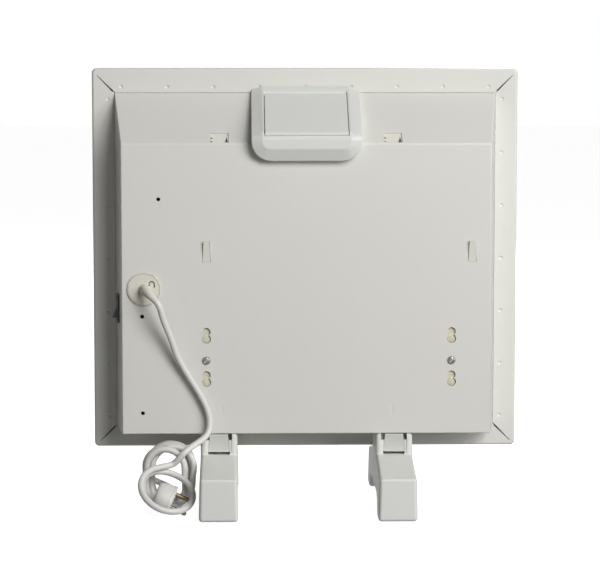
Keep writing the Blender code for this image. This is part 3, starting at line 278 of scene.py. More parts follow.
SHOULDER_HALF = 13.9 * MM
SHOULDER_HEIGHT = 7 * MM
SHOULDER_RECESS = 1.2 * MM
TAB_HALF = 6 * MM
TAB_FRONT = 14 * MM
TAB_BACK = 17 * MM

# The latches and their barrels
AXLE_IN = 4.4 * MM
AXLE_DROP = 11 * MM
AXLE_ROOM = 2.5 * MM
LATCH_THICK = 3 * MM
LATCH_LIFT = 2.8 * MM
LATCH_CLEARANCE = 0.4 * MM
LATCH_ROUND = 1.1 * MM
LATCH_EASE = 0.7 * MM
SCOOP_RADIUS = 60 * MM
SCOOP_DEPTH = 1.9 * MM
SCOOP_LIFT = 3.4 * MM
WEB_HALF = 5 * MM
WEB_BACK = 2 * MM

# The cable disc and the arched mark pressed in it; the groove is radii and depths in millimetres
DISC_CENTRE = Vector((172.7, 32.5, 235.6)) * MM
DISC_RADIUS = 18 * MM
DISC_FLANGE = 1.5 * MM
DISC_FOOT_EASE = 0.2 * MM
DISC_EDGE_DEPTH = 1.0 * MM
DISC_EDGE_WIDTH = 0.6 * MM
DISC_GROOVE = ((17.3, 0), (17.1, 0.9), (16.5, 0.9), (16.3, 0))
BARREL_RADIUS = 14.5 * MM
BARREL_DEPTH = 8 * MM
MARK_CENTRE = Vector((-8.3, 0, 5.6)) * MM
MARK_RADIUS = 2.7 * MM
MARK_HALF = 0.65 * MM
MARK_DEPTH = 5 * MM
MARK_LEGS = (0.7, 1.4)

# The thermostat knob: its place on the deck, and rise, radius and flute depth from its skirt to its top
KNOB_PLACE = Vector((6, 16.157, 411.668)) * MM
DECK_OUT = Vector((0, 0.503191, 0.864175))
DECK_BACK = ACROSS.cross(-DECK_OUT)
KNOB_STEPS = (
    (0, 14.6, 0), (0.3, 15, 0), (0.8, 15, 0), (1.1, 14.7, 0), (1.2, 13.2, 0), (1.5, 13.2, 0.45),
    (3.6, 12.6, 0.45), (4.1, 12.3, 0.3), (4.4, 11.7, 0), (4.5, 11.2, 0), (4.4, 10.9, 0), (4.3, 6, 0),
    (4.3, 0.2, 0),
)
KNOB_FLUTES = 30
KNOB_SIDES = 180
DIGITS = 7
DIGIT_STEP = 45 * DEGREE
DIGIT_SIZE = 3.9 * MM
DIGIT_WEIGHT = 0.1 * MM
DIGIT_THICK = 0.05 * MM
DIGIT_RADIUS = 8.6 * MM
DIGIT_RISE = 4.36 * MM
KNOB_MARK = ((-0.5 * MM, 16.2 * MM, -0.6 * MM), (0.5 * MM, 19 * MM, -0.15 * MM))

# Angles at which edges are softened, split or left flat
FLAT_ANGLE = 0.4 * DEGREE
EASED_ANGLE = 35 * DEGREE
SPLIT_ANGLE = 32 * DEGREE
CREASE_ANGLE = 10 * DEGREE

# The camera, fitted to the photograph: distances in metres, focal length in the photograph's pixels
IMAGE_WIDTH = 600
SENSOR_WIDTH = 36
FOCAL_PIXELS = 2529.45
CAMERA_YAW = 1.3014 * DEGREE
CAMERA_PITCH = 6.1257 * DEGREE
CAMERA_DISTANCE = 2.75
CAMERA_RIGHT = 0.005557
CAMERA_UP = 0.026821
CAMERA_END = 30
PANEL_CENTRE = Vector((0, -0.0315, 0.262))

# Soft light: its strength from straight below, where the pale floor is, and from all round
SOFT_BELOW = 0.5
SOFT_ROUND = 0.018
SOFT_EDGE = -0.2

# Three square lamps that face the heater's middle: name, place and power
LAMP_SIZE = 1.3
LAMP_TARGET = Vector((0, 0, 0.25))
LAMPS = (
    ("key", (-1.098, 2.355, 1.75), 64),
    ("low_side", (-2.049, 2.049, 1.027), 34),
    ("front_side", (-0.992, -2.726, 1.026), 85),
)

# The floor
FLOOR_HALF = 9
FLOOR_DROP = 0.2 * MM
FLOOR_GREY = 0.5
FLOOR_ROUGHNESS = 0.9
FLOOR_GLOW = 0.88

# Each finish: picture tone, roughness, metallic, strength and size of its grain, and mottle and coat if any
FINISHES = {
    "white_enamel": ((213, 212, 206), 0.42, 0, 0.25, 1.6 * MM, 0.012),
    "white_plastic": ((212, 213, 208), 0.5, 0, 0.3, 0.8 * MM, 0.01),
    # The feet's and lid's plastic: the white plastic painted lighter, as painted light.
    "white_plastic_painted_light": ((218, 219, 214), 0.5, 0, 0.3, 0.8 * MM, 0.01),
    # The latches' plastic: the white plastic painted a shade darker, as painted shade.
    "latch_plastic_painted_shade": ((201, 202, 197), 0.5, 0, 0.3, 0.8 * MM, 0.01),
    "cream_plastic": ((214, 210, 199), 0.5, 0, 0.2, MM, 0.02),
    "black_plastic": ((14, 14, 15), 0.3, 0, 0, MM, 0.1),
    "white_cable": ((214, 212, 208), 0.45, 0, 0.15, 0.7 * MM),
    "aluminium": ((205, 207, 210), 0.35, 1, 0.2, 2 * MM),
    "steel": ((190, 190, 188), 0.32, 1, 0.1, MM),
    "zinc": ((122, 121, 116), 0.3, 1, 0.1, MM),
    # A pale, dull plate in the screw slots: a painted reflection.
    "zinc_painted_reflection": ((205, 208, 206), 0.4, 0, 0.1, 0.8 * MM),
    "brass": ((104, 91, 74), 0.34, 1, 0.1, 0.6 * MM),
    "ceramic": ((220, 214, 202), 0.6, 0, 0.2, MM),
    "circuit_board": ((24, 92, 48), 0.45, 0, 0, MM, 0.03, 0.3),
    "lens_red": ((190, 30, 22), 0.15, 0, 0, MM, 0.03, 0.6),
    # The hook pads' cream: the shield's cream painted lighter, as painted light in the slots' shade.
    "pad_cream_painted_light": ((222, 219, 208), 0.5, 0, 0.2, 2 * MM),
    "tongue_enamel": ((217, 214, 203), 0.45, 0, 0.15, 1.2 * MM),
    "shield_cream": ((203, 199, 174), 0.55, 0, 0.2, 2 * MM),
}
MOTTLE_SCALE = 9
GLOSS_SPREAD = 0.05
COAT_ROUGHNESS = 0.2
BUMP_SHARE = 0.2


def linear(value):
    """A picture tone from 0 to 255 as a light value."""
    share = value / 255
    return share / 12.92 if share <= 0.04045 else ((share + 0.055) / 1.055) ** 2.4


def set_inputs(node, values):
    for name, value in values.items():
        node.inputs[name].default_value = value


def add_node(tree, kind, values=None, links=None):
    """A new shader node; its inputs get values or are linked to other nodes' outputs."""
    node = tree.nodes.new(f"ShaderNode{kind}")
    set_inputs(node, values or {})
    for name, output in (links or {}).items():
        tree.links.new(output, node.inputs[name])
    return node


def material(name, picture_tone, roughness, metallic, grain, grain_size, mottle=0.03, coat=0):
    """A finish with a fine surface grain and a slight, wide variation in tone and gloss."""
    colour = [linear(value) for value in picture_tone]
    dark = (*(c * (1 - mottle) for c in colour), 1)
    light = (*(min(1, c * (1 + mottle)) for c in colour), 1)
    rough = max(GLOSS_SPREAD, roughness - GLOSS_SPREAD), min(1, roughness + GLOSS_SPREAD)
    made = bpy.data.materials.new(name)
    made.use_nodes = True
    tree = made.node_tree
    shader = tree.nodes["Principled BSDF"]
    set_inputs(shader, {"Roughness": roughness, "Metallic": metallic})
    set_inputs(shader, {"Coat Weight": coat, "Coat Roughness": COAT_ROUGHNESS})
    place = {"Vector": add_node(tree, "TexCoord").outputs["Object"]}
    wide = add_node(tree, "TexNoise", {"Scale": MOTTLE_SCALE, "Detail": 3}, place).outputs["Fac"]
    tint = add_node(tree, "Mix", {6: dark, 7: light}, {"Factor": wide})
    tint.data_type = "RGBA"
    tree.links.new(tint.outputs[2], shader.inputs["Base Color"])
    gloss = add_node(tree, "MapRange", {"To Min": rough[0], "To Max": rough[1]}, {"Value": wide})
    tree.links.new(gloss.outputs["Result"], shader.inputs["Roughness"])
    if grain:
        fine = add_node(tree, "TexNoise", {"Scale": 1 / grain_size, "Detail": 2}, place).outputs["Fac"]
        size = {"Strength": grain, "Distance": grain_size * BUMP_SHARE}
        bump = add_node(tree, "Bump", size, {"Height": fine})
        tree.links.new(bump.outputs["Normal"], shader.inputs["Normal"])
    return made


MATERIALS = {name: material(name, *look) for name, look in FINISHES.items()}


def placed(name, data):
    thing = bpy.data.objects.new(name, data)
    bpy.context.scene.collection.objects.link(thing)
    return thing


def evaluated_mesh(thing):
    return bpy.data.meshes.new_from_object(thing.evaluated_get(bpy.context.evaluated_depsgraph_get()))


def build_camera():
    across, aside = math.cos(CAMERA_YAW), math.sin(CAMERA_YAW)
    level, down = math.cos(CAMERA_PITCH), math.sin(CAMERA_PITCH)
    right = Vector((-across, aside, 0))
    up = Vector((-aside * down, -across * down, level))
    back = Vector((aside * level, across * level, down))
    place = PANEL_CENTRE - right * CAMERA_RIGHT - up * CAMERA_UP + back * CAMERA_DISTANCE
    camera = placed("camera", bpy.data.cameras.new("camera"))
    camera.matrix_world = Matrix.Translation(place) @ Matrix((right, up, back)).transposed().to_4x4()
    camera.data.sensor_width = SENSOR_WIDTH
    camera.data.lens = SENSOR_WIDTH * FOCAL_PIXELS / IMAGE_WIDTH
    camera.data.clip_end = CAMERA_END
    scene = bpy.context.scene
    scene.camera = camera
    scene.view_settings.view_transform = "Standard"


def build_world():
    """Soft light from below and all round, and plain white where the camera or a reflection looks past."""
    world = bpy.data.worlds.new("studio")
    bpy.context.scene.world = world
    world.use_nodes = True
    tree = world.node_tree
    tree.nodes.clear()
    way = add_node(tree, "TexCoord").outputs["Generated"]
    height = add_node(tree, "SeparateXYZ", links={"Vector": way}).outputs["Z"]
    levels = {"From Min": -1, "From Max": SOFT_EDGE, "To Min": SOFT_BELOW, "To Max": SOFT_ROUND}
    fall = add_node(tree, "MapRange", levels, {"Value": height}).outputs["Result"]
    white = {"Color": (1, 1, 1, 1), "Strength": 1}
    soft_light = add_node(tree, "Background", white, {"Strength": fall}).outputs["Background"]
    white_light = add_node(tree, "Background", white).outputs["Background"]
    rays = add_node(tree, "LightPath").outputs
    seen = rays["Is Camera Ray"]
    for ray in ("Is Glossy Ray", "Is Transmission Ray"):
        either = add_node(tree, "Math", links={0: seen, 1: rays[ray]})
        either.operation = "MAXIMUM"
        seen = either.outputs["Value"]
    mix = add_node(tree, "MixShader", links={"Fac": seen, 1: soft_light, 2: white_light})
    add_node(tree, "OutputWorld", links={"Surface": mix.outputs["Shader"]})


def build_lamps():
    for name, place, power in LAMPS:
        data = bpy.data.lights.new(name, "AREA")
        data.shape = "SQUARE"
        data.size = LAMP_SIZE
        data.energy = power
        lamp = placed(name, data)
        way = (Vector(place) - LAMP_TARGET).normalized()
        lamp.matrix_world = Matrix.Translation(place) @ way.to_track_quat("Z", "Y").to_matrix().to_4x4()


def build_floor():
    """A pale floor that the camera sees, but that throws no light on the heater."""
    corners = [(x * FLOOR_HALF, y * FLOOR_HALF, 0) for x, y in ((-1, -1), (1, -1), (1, 1), (-1, 1))]
    mesh = bpy.data.meshes.new("floor")
    mesh.from_pydata(corners, [], [(0, 1, 2, 3)])
    floor = placed("floor", mesh)
    floor.location.z = -FLOOR_DROP
    pale = bpy.data.materials.new("floor")
    pale.use_nodes = True
    shader = pale.node_tree.nodes["Principled BSDF"]
    set_inputs(shader, {"Base Color": (FLOOR_GREY, FLOOR_GREY, FLOOR_GREY, 1), "Roughness": FLOOR_ROUGHNESS})
    set_inputs(shader, {"Emission Color": (1, 1, 1, 1), "Emission Strength": FLOOR_GLOW})
    floor.data.materials.append(pale)
    floor.visible_diffuse = False
    floor.visible_glossy = False


def add_piece(name, mesh_or_curve, body, finish, replaces=()):
    """A new piece of the dressed part, riding on a body."""
    thing = placed(name, mesh_or_curve)
    thing.data.materials.append(MATERIALS[finish])
    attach(thing, body)
    if replaces:
        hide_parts(*replaces)
    return thing


def even_shading(thing):
    """Lets the wide faces set the shading, so that they stay flat up to their rounded edges."""
    even = thing.modifiers.new("even", "WEIGHTED_NORMAL")
    even.keep_sharp = True


def add_form(name, form, body, finish, replaces=(), angle=30, recalculate=True):
    """A new piece from a form, smooth except where its faces meet at more than the angle."""
    if recalculate:
        bmesh.ops.recalc_face_normals(form, faces=form.faces[:])
    mesh = bpy.data.meshes.new(name)
    form.to_mesh(mesh)
    form.free()
    mesh.shade_smooth()
    mesh.set_sharp_from_angle(angle=angle * DEGREE)
    return add_piece(name, mesh, body, finish, replaces)


def add_shell(node, form, finish, angle=30, recalculate=True):
    """A finer piece that stands for one CAD node."""
    even_shading(add_form(f"{node}_shell", form, BODY_OF[node], finish, (node,), angle, recalculate))


def loft(form, sections):
    loops = [[form.verts.new(point) for point in section] for section in sections]
    form.faces.new(loops[0][::-1])
    form.faces.new(loops[-1])
    count = len(loops[0])
    for lower, upper in zip(loops, loops[1:]):
        for i in range(count):
            j = (i + 1) % count
            form.faces.new((lower[i], lower[j], upper[j], upper[i]))


def side_axes(axis):
    first = UP if abs(axis.z) < abs(axis.y) + abs(axis.x) else ACROSS
    across = first.cross(axis).normalized()
    return across, axis.cross(across).normalized()


def turned(form, origin, axis, profile, sides=48):
    """A form turned about an axis; its profile is pairs of a place along the axis and a radius."""
    across, away = side_axes(axis)
    angles = [2 * math.pi * i / sides for i in range(sides)]
    loft(form, [
        [origin + axis * along + (across * math.cos(a) + away * math.sin(a)) * radius for a in angles]
        for along, radius in profile
    ])


def box_form(form, low, high, origin=Vector(), axes=(ACROSS, DEEP, UP)):
    corners = []
    for z in (low[2], high[2]):
        for x, y in ((low[0], low[1]), (high[0], low[1]), (high[0], high[1]), (low[0], high[1])):
            corners.append(origin + axes[0] * x + axes[1] * y + axes[2] * z)
    loft(form, [corners[:4], corners[4:]])


def wedge_form(form, x, low, high, front, back):
    """A block that narrows upwards; low and high are pairs of half the width and the height there."""
    outline = ((-low[0], low[1]), (low[0], low[1]), (high[0], high[1]), (-high[0], high[1]))
    loft(form, [[Vector((x + u, y, z)) for u, z in outline] for y in (front, back)])


def form_of(maker, *values, **settings):
    form = bmesh.new()
    maker(form, *values, **settings)
    return form


def round_edges(form, edges, width, segments=4):
    bmesh.ops.bevel(
        form, geom=edges, offset=width, segments=segments, profile=0.5, affect="EDGES", clamp_overlap=False,
    )


def low_edges(form, height):
    """The edges that run from front to back below a height."""
    return [
        edge for edge in form.edges
        if abs(edge.verts[0].co.y - edge.verts[1].co.y) > MM and edge.verts[0].co.z < height
    ]


def carved(base, *cutters):
    """The base form with the cutters' forms taken away, one after the other."""
    things = []
    for form in (base, *cutters):
        bmesh.ops.recalc_face_normals(form, faces=form.faces[:])
        mesh = bpy.data.meshes.new("carving")
        form.to_mesh(mesh)
        form.free()
        things.append(placed("carving", mesh))
    for cutter in things[1:]:
        bite = things[0].modifiers.new("bite", "BOOLEAN")
        bite.operation = "DIFFERENCE"
        bite.solver = "EXACT"
        bite.object = cutter
    shape = evaluated_mesh(things[0])
    result = bmesh.new()
    result.from_mesh(shape)
    bpy.data.batch_remove([shape, *things, *(thing.data for thing in things)])
    bmesh.ops.remove_doubles(result, verts=result.verts[:], dist=WELD)
    return result


def refined(node, finish, pick, width, segments, angle, bites=None, reshape=None):
    """A copy of a CAD node, cut or reshaped first where it says so, with the picked edges rounded."""
    form = bmesh.new()
    form.from_mesh(NODES[node].data)
    bmesh.ops.remove_doubles(form, verts=form.verts[:], dist=WELD)
    if bites:
        form = carved(form, bites)
    if reshape:
        reshape(form)
    picked = [
        edge for edge in form.edges
        if len(edge.link_faces) == 2 and edge.calc_face_angle_signed(0) > CREASE_ANGLE and pick(edge)
    ]
    round_edges(form, picked, width, segments)
    add_shell(node, form, finish, angle=angle, recalculate=False)


def smooth_curve(points, count):
    """Points evenly spaced along a natural cubic through the given ones."""
    route = np.array([tuple(p) for p in points], float)
    size = len(route)
    along = np.concatenate([[0], np.cumsum(np.linalg.norm(np.diff(route, axis=0), axis=1))])
    step = np.diff(along)
    system = np.eye(size)
    pull = np.zeros((size, 3))
    for i in range(1, size - 1):
        system[i, i - 1:i + 2] = step[i - 1], 2 * (step[i - 1] + step[i]), step[i]
        ahead = (route[i + 1] - route[i]) / step[i]
        behind = (route[i] - route[i - 1]) / step[i - 1]
        pull[i] = 6 * (ahead - behind)
    bend = np.linalg.solve(system, pull)
    places = np.linspace(0, along[-1], count)
    k = np.clip(np.searchsorted(along, places, side="right") - 1, 0, size - 2)
    left = (along[k + 1] - places)[:, None]
    right = (places - along[k])[:, None]
    span = step[k][:, None]
    cubic = (bend[k] * left**3 + bend[k + 1] * right**3) / (6 * span)
    line = (route[k] / span - bend[k] * span / 6) * left
    line = line + (route[k + 1] / span - bend[k + 1] * span / 6) * right
    return cubic + line


def ease_in(value):
    held = np.clip(value, 0, 1)
    return held * held * (3 - 2 * held)


def stadium(turn, radius, half):
    """Places round an upright loop of two half circles and two straight sides, up from its right side."""
    halves = (turn % 1) * 2
    way = np.where(halves < 1, 1, -1)
    past = (halves % 1) * (2 * half + math.pi * radius)
    angle = np.clip((past - half) / radius, 0, math.pi)
    down = np.maximum(0, past - half - math.pi * radius)
    return way * radius * np.cos(angle), way * (np.minimum(past, half) + radius * np.sin(angle) - down)


def bundle_loops():
    """The bundle's centreline: a loose leaning ring that passes into tall loops, one behind the other."""
    turns = TALL_LOOPS + LAST_TURN - FIRST_TURN
    n = np.linspace(0, turns, int(round(turns * POINTS_PER_TURN)) + 1)
    turn = FIRST_TURN + n
    fade = ease_in((n - RING_TURNS) / FADE_TURNS)
    circle = 2 * math.pi * turn
    length = math.hypot(RING_TILT, RING_HALF_HEIGHT)
    flat_share = RING_HALF_HEIGHT / length
    steep_share = RING_TILT / length
    flat_x = RING_HALF_WIDTH * np.cos(circle)
    flat_z = RING_HALF_HEIGHT * np.sin(circle) - LOOP_PITCH * steep_share * n
    ring_x = flat_x * math.cos(RING_LEAN) + flat_z * math.sin(RING_LEAN)
    ring_z = flat_z * math.cos(RING_LEAN) - flat_x * math.sin(RING_LEAN) + RING_CENTRE
    tall_x, tall_z = stadium(turn, TALL_RADIUS, TALL_STRAIGHT)
    swell = 1 + SWELL_SHARE * np.cos(2 * math.pi * SWELL_RATE * n)
    lean = LEAN_ANGLE * np.sin(2 * math.pi * LEAN_RATE * n)
    side = FAN_OUT * np.sin(2 * math.pi * FAN_RATE * n)
    leant_x = swell * (tall_x * np.cos(lean) - tall_z * np.sin(lean)) + side
    leant_z = swell * (tall_x * np.sin(lean) + tall_z * np.cos(lean)) + TALL_CENTRE
    step = LOOP_PITCH * ((1 - fade) * flat_share + fade)
    stack = np.concatenate([[0], np.cumsum((step[1:] + step[:-1]) / 2 * np.diff(n))])
    x = (1 - fade) * ring_x + fade * leant_x
    z = (1 - fade) * ring_z + fade * leant_z
    y = -stack - RING_TILT * ((1 - fade) * np.sin(circle) + fade)
    return np.stack([BUNDLE_ACROSS - x, BUNDLE_DEEP + y, z], axis=1)


def lead_points():
    """The whole lead's centreline from its boot to the plug's neck, and its length."""
    loops = bundle_loops()
    join_way = (loops[0] - loops[1]) / np.linalg.norm(loops[0] - loops[1])
    first_way = np.array((BOOT_TIP - BOOT_KNEE).normalized())
    first = np.array(BOOT_TIP) + first_way * GAP
    last = loops[0] + join_way * (CORD_DIAMETER + GAP)
    run = [first, first + first_way * CORD_DIAMETER, *RUN_ROUTE, last + join_way * CORD_DIAMETER, last]
    neck = np.array(PLUG_CENTRE) - np.array([0, PLUG_RADIUS_DEEP + PLUG_NECK + GAP, 0])
    tail = [loops[-1] + np.array([-across, ahead, up]) for across, ahead, up in TAIL_STEPS]
    tail = tail + [neck - np.array([0, CORD_DIAMETER, 0]), neck]
    points = smooth_curve(np.array([*run, *loops, *tail]), LEAD_POINTS)
    length = float(np.linalg.norm(np.diff(points, axis=0), axis=1).sum())
    return points, length


def cord_curve(points):
    curve = bpy.data.curves.new("mains_lead", "CURVE")
    curve.dimensions = "3D"
    curve.bevel_depth = CORD_DIAMETER / 2
    curve.bevel_resolution = 6
    curve.use_fill_caps = True
    line = curve.splines.new("POLY")
    line.points.add(len(points) - 1)
    for spot, place in zip(line.points, points):
        spot.co = (*place, 1)
    line.use_smooth = True
    return curve


def build_plug_body(out, up, side):
    """The plug's body, with a stepped face and a grip hollow on each side."""
    rings = []
    for along, share in PLUG_SHARES:
        hollow = PINCH_SHARE * max(0, 1 - (along - PINCH_PLACE_SHARE) ** 2)
        ring = []
        for k in range(PLUG_SIDES):
            angle = 2 * math.pi * k / PLUG_SIDES
            wide = share * (1 - hollow * abs(math.sin(angle)) ** 6)
            reach = up * (PLUG_RADIUS_TALL * math.cos(angle)) + side * (PLUG_RADIUS_DEEP * math.sin(angle))
            ring.append(PLUG_CENTRE + out * (along * PLUG_THICK / 2) + reach * wide)
        rings.append(ring)
    form = form_of(loft, rings)
    return add_form("plug_shell", form, "heater", "white_cable", replaces=("plug_body",), angle=40)


def build_plug_neck():
    """The plug's ribbed neck, which widens towards its body."""
    profile = []
    for i in range(NECK_RIBS):
        start = PLUG_NECK * i / NECK_RIBS
        wide = PLUG_NECK_RADIUS * (NECK_TIP_SHARE + (1 - NECK_TIP_SHARE) * i / NECK_RIBS)
        thin = wide * NECK_GROOVE_SHARE
        profile += [(start, thin), (start + RIB_RISE, wide)]
        profile += [(start + RIB_TOP, wide), (start + RIB_END, thin)]
    profile += [(PLUG_NECK, PLUG_NECK_RADIUS), (PLUG_NECK + NECK_ROOT, PLUG_NECK_RADIUS * NECK_ROOT_SHARE)]
    form = form_of(turned, PLUG_CENTRE - DEEP * (PLUG_RADIUS_DEEP + PLUG_NECK), DEEP, profile)
    return add_form("plug_neck", form, "heater", "white_cable")


def build_pin(name, place, out):
    tip = [(PIN_LENGTH - PIN_RADIUS * back, PIN_RADIUS * wide) for back, wide in PIN_TIP_SHARES]
    form = form_of(turned, place - out * PIN_ROOT, out, [(0, PIN_RADIUS), *tip], sides=32)
    return add_form(f"pin_{name}", form, "heater", "brass", replaces=(f"plug_pin_{name}",))


def build_lead():
    points, length = lead_points()
    replaces = ("cord_run", "cord_hank")
    lead = add_piece("mains_lead", cord_curve(points), "heater", "white_cable", replaces=replaces)
    out = Vector((-math.cos(PLUG_DIP), 0, -math.sin(PLUG_DIP)))
    level = Vector((-math.sin(PLUG_DIP), 0, math.cos(PLUG_DIP)))
    up = level * math.cos(PLUG_ROLL) - DEEP * math.sin(PLUG_ROLL)
    side = level * math.sin(PLUG_ROLL) + DEEP * math.cos(PLUG_ROLL)
    plug = [build_plug_body(out, up, side), build_plug_neck()]
    face = PLUG_CENTRE + out * (PLUG_THICK / 2 + GAP)
    for name, way in (("upper", 1), ("lower", -1)):
        plug.append(build_pin(name, face + up * (way * PIN_SPACING / 2), out))


def rounded_ring(half, low, high, corner, y):
    """A rounded upright rectangle at one depth."""
    points = []
    for side, end, start in ((1, 1, 0), (-1, 1, 90), (-1, -1, 180), (1, -1, 270)):
        x = side * (half - corner)
        z = high - corner if end > 0 else low + corner
        for k in range(9):
            angle = (start + 90 * k / 8) * DEGREE
            points.append(Vector((x + corner * math.cos(angle), y, z + corner * math.sin(angle))))
    return points


def panel_rings():
    """The tray's outside from its front face to its flange, with both bends as arcs."""
    rings = []
    for plane, way, radius in ((PANEL_LOW[1], 1, FRONT_BEND), (PANEL_BACK, -1, RIM_BEND)):
        for k in range(8)[::way]:
            angle = k / 7 * math.pi / 2
            inset = radius * (1 - math.sin(angle))
            y = plane + way * radius * (1 - math.cos(angle))
            edges = (PANEL_HIGH[0] - inset, PANEL_LOW[2] + inset, PANEL_HIGH[2] - inset)
            rings.append(rounded_ring(*edges, PANEL_CORNER - inset * CORNER_SHARE, y))
    return rings


def clinch_places():
    low, high = PANEL_LOW[2], PANEL_HIGH[2]
    for i in range(CLINCHES_ACROSS):
        for z in (high - CLINCH_INSET_TOP, low + CLINCH_INSET_TOP):
            yield (i - CLINCHES_ACROSS // 2) * CLINCH_PITCH_ACROSS, z
    for i in range(CLINCHES_DOWN):
        for side in (-1, 1):
            z = (low + high) / 2 + (i - CLINCHES_DOWN // 2) * CLINCH_PITCH_DOWN
            yield side * (PANEL_HIGH[0] - CLINCH_INSET_SIDE), z


def clinch_dishes():
    """Shallow round dishes in the flange."""
    ball = (CLINCH_RADIUS**2 + CLINCH_DEPTH**2) / (2 * CLINCH_DEPTH)
    profile = []
    for k in range(7):
        depth = CLINCH_DEPTH * (k / 6) ** 2
        profile.append((depth, max(TIP_RADIUS, math.sqrt(max(0, ball**2 - (ball - depth) ** 2)))))
    profile.append((CLINCH_DEPTH + OVERRUN, CLINCH_RADIUS * CLINCH_FLARE_SHARE))
    dishes = bmesh.new()
    for x, z in clinch_places():
        turned(dishes, Vector((x, PANEL_BACK - CLINCH_DEPTH, z)), DEEP, profile, sides=20)
    return dishes


def cover_opening():
    """Half the width, the foot and the top of the panel's opening round the cover."""
    return COVER_HIGH[0] - COVER_RIM + GAP, RAIL_TOP - GAP, COVER_HIGH[2] - COVER_RIM + SHEET


def cut_mitres(form, start, deep):
    """The narrowing slits that run out from the corners of the opening."""
    half, low, high = cover_opening()
    for side in (-1, 1):
        for z, way in ((low, -1), (high, 1)):
            along = Vector((side, 0, way)).normalized()
            aside = along.cross(DEEP)
            corner = Vector((side * half, PANEL_BACK, z))
            loft(form, [
                [
                    corner + along * reach + aside * (across * wide / 2) + DEEP * depth
                    for across, depth in ((-1, -deep), (1, -deep), (1, OVERRUN), (-1, OVERRUN))
                ]
                for reach, wide in ((start, MITRE_WIDE), (MITRE_LENGTH, MITRE_NARROW))
            ])


def build_panel():
    """The front panel: bent at its front and rear edges, mitred, and dished where it is clinched."""
    half, back, high = PANEL_HIGH
    front, low = PANEL_LOW[1], PANEL_LOW[2]
    inside = (half - SHEET, low + SHEET, high - SHEET, PANEL_CORNER - SHEET)
    hollow = form_of(loft, [rounded_ring(*inside, y) for y in (front + SHEET, back - SHEET)])
    cover_half, cover_low, cover_high = cover_opening()
    start = (-cover_half, back - SHEET - OVERRUN, cover_low)
    openings = form_of(box_form, start, (cover_half, back + OVERRUN, cover_high))
    outlet_half = GRILLE_HIGH[0] - OUTLET_LIP
    start = (-outlet_half, front - OVERRUN, GRILLE_LOW[2] + OUTLET_LIP)
    box_form(openings, start, (outlet_half, front + SHEET + OVERRUN, GRILLE_HIGH[2] - OUTLET_LIP))
    mitres = form_of(cut_mitres, -OVERRUN, SHEET + GAP)
    form = carved(form_of(loft, panel_rings()), hollow, openings, mitres, clinch_dishes())
    add_shell("front_panel", form, "white_enamel", angle=28, recalculate=False)


def on_pan_bend(edge):
    way = (edge.verts[0].co - edge.verts[1].co).normalized()
    reach = max(vert.co.y for vert in edge.verts)
    return edge.calc_length() > LONG_EDGE and abs(way.y) < LEVEL_SHARE and reach > PANEL_BACK + OVERRUN


def build_cover():
    """The rear cover with rounded bends, its pin holes, arrows and mitred rim, and room for its tongues."""
    bites = bmesh.new()
    start = COVER_BACK - CUT_DEPTH
    for x, z in PIN_HOLES:
        profile = ((0, PIN_HOLE_RADIUS), (CUT_DEPTH + OVERRUN, PIN_HOLE_RADIUS))
        turned(bites, Vector((x, start, z)), DEEP, profile, sides=28)
    cut_mitres(bites, OVERRUN, MITRE_DEPTH)
    cut_arrows(bites)
    reach = LANCE_HALF + FINE
    for x in LANCES:
        high = (x + reach, COVER_BACK + OVERRUN, LANCE_HIGH + FINE)
        box_form(bites, (x - reach, start, LANCE_LOW - FINE), high)
    refined("rear_cover", "white_enamel", on_pan_bend, COVER_BEND, segments=3, angle=25, bites=bites)


def cut_arrows(form):
    """The plain arrows pressed into the cover above the latches, with sloping walls."""
    for side in (-1, 1):
        corners = [(side * ARROW_ACROSS + u * MM, z * MM, 0) for u, z in ARROW]
        sections = []
        for way in (1, -1):
            outline = inset_outline(corners, way * ARROW_SLOPE)
            sections.append([Vector((u, COVER_BACK - way * ARROW_DEPTH, z)) for u, z in outline])
        loft(form, sections)


def build_tongues():
    """Two tongues lanced in the cover, creased at their foot and leaning out, with the sheet beside them."""
    cheeks = bmesh.new()
    tongues = bmesh.new()
    outline = (
        (LANCE_HALF + FINE, LANCE_LOW - FINE), (LANCE_HALF, LANCE_LOW - FINE),
        (LANCE_TOP_HALF, LANCE_HIGH + FINE), (LANCE_HALF + FINE, LANCE_HIGH + FINE),
    )
    for x in LANCES:
        for side in (-1, 1):
            levels = (COVER_BACK - SHEET, COVER_BACK)
            loft(cheeks, [[Vector((x + side * u, y, z)) for u, z in outline] for y in levels])
        sections = []
        for share, lean in LANCE_LEAN_SHARES:
            half = LANCE_HALF + (LANCE_TOP_HALF - LANCE_HALF) * share - LANCE_SLIT
            z = LANCE_LOW + LANCE_LIFT + (LANCE_HIGH - LANCE_LOW) * share
            y = COVER_BACK + LANCE_PROUD * lean
            inner = y - SHEET
            corners = ((-half, inner), (half, inner), (half, y), (-half, y))
            sections.append([Vector((x + across, depth, z)) for across, depth in corners])
        loft(tongues, sections)
    body = BODY_OF["rear_cover"]
    add_form("cover_cheeks", cheeks, body, "white_enamel")
    add_form("cover_tongues", tongues, body, "tongue_enamel")


def on_housing_edge(edge):
    """The housing's outline at its rear face and shoulder, and the same edges along its sloping top."""
    a, b = (vert.co for vert in edge.verts)
    lid_half = LID_HIGH[0]
    level = abs(a.y - b.y) < EDGE_SLANT and min(a.y, b.y) > HOUSING_BACK - EDGE_BAND
    aside = abs(a.x - b.x) < FINE / 2 and abs(a.x) > lid_half + OVERRUN
    slanting = aside and edge.calc_length() > LONG_EDGE
    in_recess = all(abs(spot.x) < lid_half + LID_SIDE_GAP and spot.z > LID_LOW[2] - MM for spot in (a, b))
    return (level or slanting) and not in_recess


